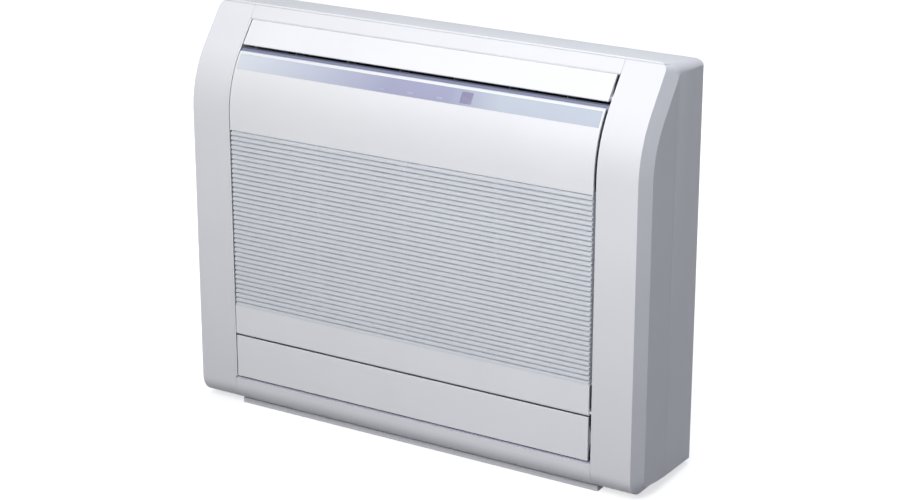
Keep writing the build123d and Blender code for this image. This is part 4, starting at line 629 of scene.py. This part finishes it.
def back_box(name, inset, start, end):
    """Block of the shallow box on the back, set in by inset."""
    middle = (0, (BACK_BOX_LOW + BACK_BOX_HIGH) / 2)
    height = BACK_BOX_HIGH - BACK_BOX_LOW - 2 * inset
    face = rounded_rectangle(middle, 2 * (BACK_BOX_HALF - inset), height, REAR_CORNER_R - inset)
    return prism_y(name, start, end, face)


def finish_piece(piece, node):
    """Give a piece of the casing the material and slot of a node, and smooth shading."""
    slot = SUBPARTS[node]["material_slot"]
    piece.data.materials.clear()
    piece.data.materials.append(MATERIALS[slot])
    piece.data.shade_smooth()
    piece.data.set_sharp_from_angle(angle=SHARP_ANGLE)
    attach(piece, "casing")
    return piece


def ledge(name, node, outline):
    """Thin ledge between the columns, with an outline given as (y, z)."""
    return finish_piece(prism_x(name, LEDGE_GAP - COLUMN_X, COLUMN_X - LEDGE_GAP, outline), node)


def strip_outline(heights, depths, point):
    """Outline of a strip from two heights and two depths, by a function that gives (y, z)."""
    low, high = heights
    near, far = depths
    return [point(low, near), point(high, near), point(high, far), point(low, far)]


def face_point(z, depth):
    """Point under the upright face, as (y, z)."""
    return (FRONT_Y + depth, z)


# Side covers: the right one is cut from the shell, the left one is its mirror image
right_cover = hollow_casing("right_column")
cover_region = front_region(COVER_REAR_Y, WALL + COVER_GAP)
combine(right_cover, prism_x("region", COLUMN_X, FAR, cover_region), "INTERSECT")
combine(right_cover, column_wall(), "UNION")
left_cover = bpy.data.objects.new("left_column", right_cover.data.copy())
bpy.context.collection.objects.link(left_cover)
for vertex in left_cover.data.vertices:
    vertex.co.x = -vertex.co.x
left_cover.data.flip_normals()
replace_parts(finish_piece(right_cover, "right_side_cover"), "right_side_cover")
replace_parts(finish_piece(left_cover, "left_side_cover"), "left_side_cover")

# Rear case: what is left of the shell, with the shallow box on its back and the pipe opening
rear_shell = hollow_casing("rear_shell")
combine(rear_shell, prism_x("region", -FAR, FAR, front_region(CASE_FRONT_Y, WALL)), "DIFFERENCE")
box = back_box("box", 0, BODY_REAR_Y - WALL / 2, BACK_BOX_REAR_Y)
combine(rear_shell, box, "UNION")
room = back_box("room", WALL, BODY_REAR_Y - 2 * WALL, BACK_BOX_REAR_Y - WALL)
combine(rear_shell, room, "DIFFERENCE")
pipe_face = rounded_rectangle(PIPE_HOLE_AT, *PIPE_HOLE_SIZE, REAR_CORNER_R)
combine(rear_shell, prism_z("pipe_cut", -BEYOND, PIPE_HOLE_TOP, pipe_face), "DIFFERENCE")
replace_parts(finish_piece(rear_shell, "rear_case"), "rear_case")

# Lip of the left cover
left_lip = prism_x("left_seam_lip", -COLUMN_X, LIP_WIDTH - COLUMN_X, side_outline(LIP_DEPTHS[0], 0, 0))
combine(left_lip, prism_x("inner", -FAR, 0, side_outline(LIP_DEPTHS[1], 0, 0)), "DIFFERENCE")
band = [(FRONT_Y - BEYOND, z) for z in LIP_HEIGHTS] + [(LIP_REAR_Y, z) for z in reversed(LIP_HEIGHTS)]
combine(left_lip, prism_x("band", -FAR, 0, band), "INTERSECT")
finish_piece(left_lip, "left_side_cover")

# Ledges: lower edge and back of the slot under the flap, ledge under the louver, line above the flap. The first
# three are coloured with painted shade of the gaps they sit in
sill_outline = strip_outline(SILL_HEIGHTS, SILL_DEPTHS, incline_point)
outlet_sill = ledge("outlet_sill", "upper_stabiliser", sill_outline)
# The sill's violet-grey is painted shade under the flap
outlet_sill.data.materials[0] = plastic("outlet_sill_painted_shade", OUTLET_SILL_SHADE, rough=0.5)
back_outline = strip_outline(SLOT_BACK_HEIGHTS, SLOT_BACK_DEPTHS, incline_point)
slot_back = ledge("slot_back", "upper_stabiliser", back_outline)
# The slot back's dark blue-grey is painted shade inside the slot
slot_back.data.materials[0] = plastic("slot_back_painted_shade", SLOT_BACK_SHADE, rough=0.5)
base_outline = strip_outline(BASE_SILL_HEIGHTS, BASE_SILL_DEPTHS, face_point)
base_sill = ledge("base_sill", "base_panel", base_outline)
# The base sill's grey-violet is painted shade in the gap under the louver
base_sill.data.materials[0] = plastic("base_sill_painted_shade", BASE_SILL_SHADE, rough=0.5)
ledge("trim_bead", "upper_trim", strip_outline(BEAD_HEIGHTS, BEAD_DEPTHS, incline_point))

# Floor, in metres: edge, drop below the object, and its glow for the camera, which grows from a
# near distance to a far one
FLOOR_SIZE = 30
FLOOR_DROP = 0.0002
FLOOR_GLOW = {"From Min": 0.35, "From Max": 1.3, "To Min": 0.66, "To Max": 1.0}


def floor_material(name, lit):
    """Pale floor: white to the camera away from the object, with the object's soft shadow near it."""
    nodes = Nodes(name)
    nodes.shader.inputs["Base Color"].default_value = (*lit, 1)
    nodes.shader.inputs["Roughness"].default_value = 1.0
    nodes.shader.inputs["Specular IOR Level"].default_value = 0.0
    path = nodes.add("ShaderNodeLightPath")
    seen = nodes.add("ShaderNodeMath", operation="MAXIMUM")
    nodes.link(path.outputs["Is Camera Ray"], seen.inputs[0])
    nodes.link(path.outputs["Is Glossy Ray"], seen.inputs[1])
    coordinates = nodes.add("ShaderNodeTexCoord")
    reach = nodes.add("ShaderNodeVectorMath", operation="LENGTH")
    nodes.link(coordinates.outputs["Object"], reach.inputs[0])
    strength = nodes.add("ShaderNodeMapRange")
    for socket, value in FLOOR_GLOW.items():
        strength.inputs[socket].default_value = value
    nodes.link(reach.outputs["Value"], strength.inputs["Value"])
    glow = nodes.add("ShaderNodeEmission")
    nodes.link(strength.outputs["Result"], glow.inputs["Strength"])
    diffuse = nodes.add("ShaderNodeBsdfDiffuse")
    diffuse.inputs["Color"].default_value = (*FLOOR_SEEN, 1)
    both = nodes.add("ShaderNodeAddShader")
    nodes.link(glow.outputs[0], both.inputs[0])
    nodes.link(diffuse.outputs[0], both.inputs[1])
    mix = nodes.add("ShaderNodeMixShader")
    nodes.link(seen.outputs[0], mix.inputs[0])
    nodes.link(nodes.shader.outputs[0], mix.inputs[1])
    nodes.link(both.outputs[0], mix.inputs[2])
    nodes.link(mix.outputs[0], nodes.tree.nodes["Material Output"].inputs["Surface"])
    return nodes.material


bpy.ops.mesh.primitive_plane_add(size=FLOOR_SIZE, location=(0, 0, -FLOOR_DROP))
floor = bpy.context.object
floor.name = "floor"
floor.data.materials.append(floor_material("floor_white", FLOOR_LIT))


def area_light(name, place_at, aim, size, power, colour):
    """Rectangular soft lamp that shines from one point towards another."""
    light = bpy.data.lights.new(name, "AREA")
    light.shape = "RECTANGLE"
    light.size, light.size_y = size
    light.energy = power
    light.color = colour
    lamp = bpy.data.objects.new(name, light)
    lamp.location = place_at
    lamp.rotation_euler = (Vector(aim) - Vector(place_at)).to_track_quat("-Z", "Y").to_euler()
    bpy.context.collection.objects.link(lamp)


# Lights: a broad key in front, a cool one over the top, a small violet one at the right side
MIDDLE = (0, 0, 0.4)
RIGHT_SIDE = (0.37, 0, 0.5)
area_light(
    name="key",
    place_at=(0.25, -1.9, 1.55),
    aim=MIDDLE,
    size=(1.5, 1.1),
    power=41,
    colour=(1.0, 0.995, 0.985),
)
area_light(
    name="top",
    place_at=(0.0, 0.5, 2.3),
    aim=MIDDLE,
    size=(2.2, 1.2),
    power=27,
    colour=(0.93, 0.96, 1.0),
)
area_light(
    name="side",
    place_at=(1.15, -0.75, 1.3),
    aim=RIGHT_SIDE,
    size=(0.5, 0.5),
    power=3.0,
    colour=(0.74, 0.77, 1.0),
)

# World: faint bluish light on the object, plain white to the camera
WORLD_COLOUR = (0.86, 0.89, 1.0)
WORLD_STRENGTH = 0.115
world = bpy.data.worlds.new("studio")
bpy.context.scene.world = world
world.use_nodes = True
tree = world.node_tree
background = tree.nodes["Background"]
background.inputs["Color"].default_value = (*WORLD_COLOUR, 1)
background.inputs["Strength"].default_value = WORLD_STRENGTH
white = tree.nodes.new("ShaderNodeBackground")
white.inputs["Color"].default_value = (1, 1, 1, 1)
path = tree.nodes.new("ShaderNodeLightPath")
mix = tree.nodes.new("ShaderNodeMixShader")
tree.links.new(path.outputs["Is Camera Ray"], mix.inputs["Fac"])
tree.links.new(background.outputs["Background"], mix.inputs[1])
tree.links.new(white.outputs["Background"], mix.inputs[2])
tree.links.new(mix.outputs["Shader"], tree.nodes["World Output"].inputs["Surface"])

camera = bpy.data.objects.new("camera", bpy.data.cameras.new("camera"))
camera.data.lens = CAMERA_LENS
camera.data.sensor_width = CAMERA_SENSOR
camera.location = CAMERA_AT
camera_axis = Vector(
    (
        -math.sin(CAMERA_AZIMUTH) * math.cos(CAMERA_ELEVATION),
        math.cos(CAMERA_AZIMUTH) * math.cos(CAMERA_ELEVATION),
        -math.sin(CAMERA_ELEVATION),
    )
)
camera.rotation_euler = camera_axis.to_track_quat("-Z", "Y").to_euler()
bpy.context.collection.objects.link(camera)
bpy.context.scene.camera = camera
bpy.context.scene.view_settings.view_transform = "Standard"
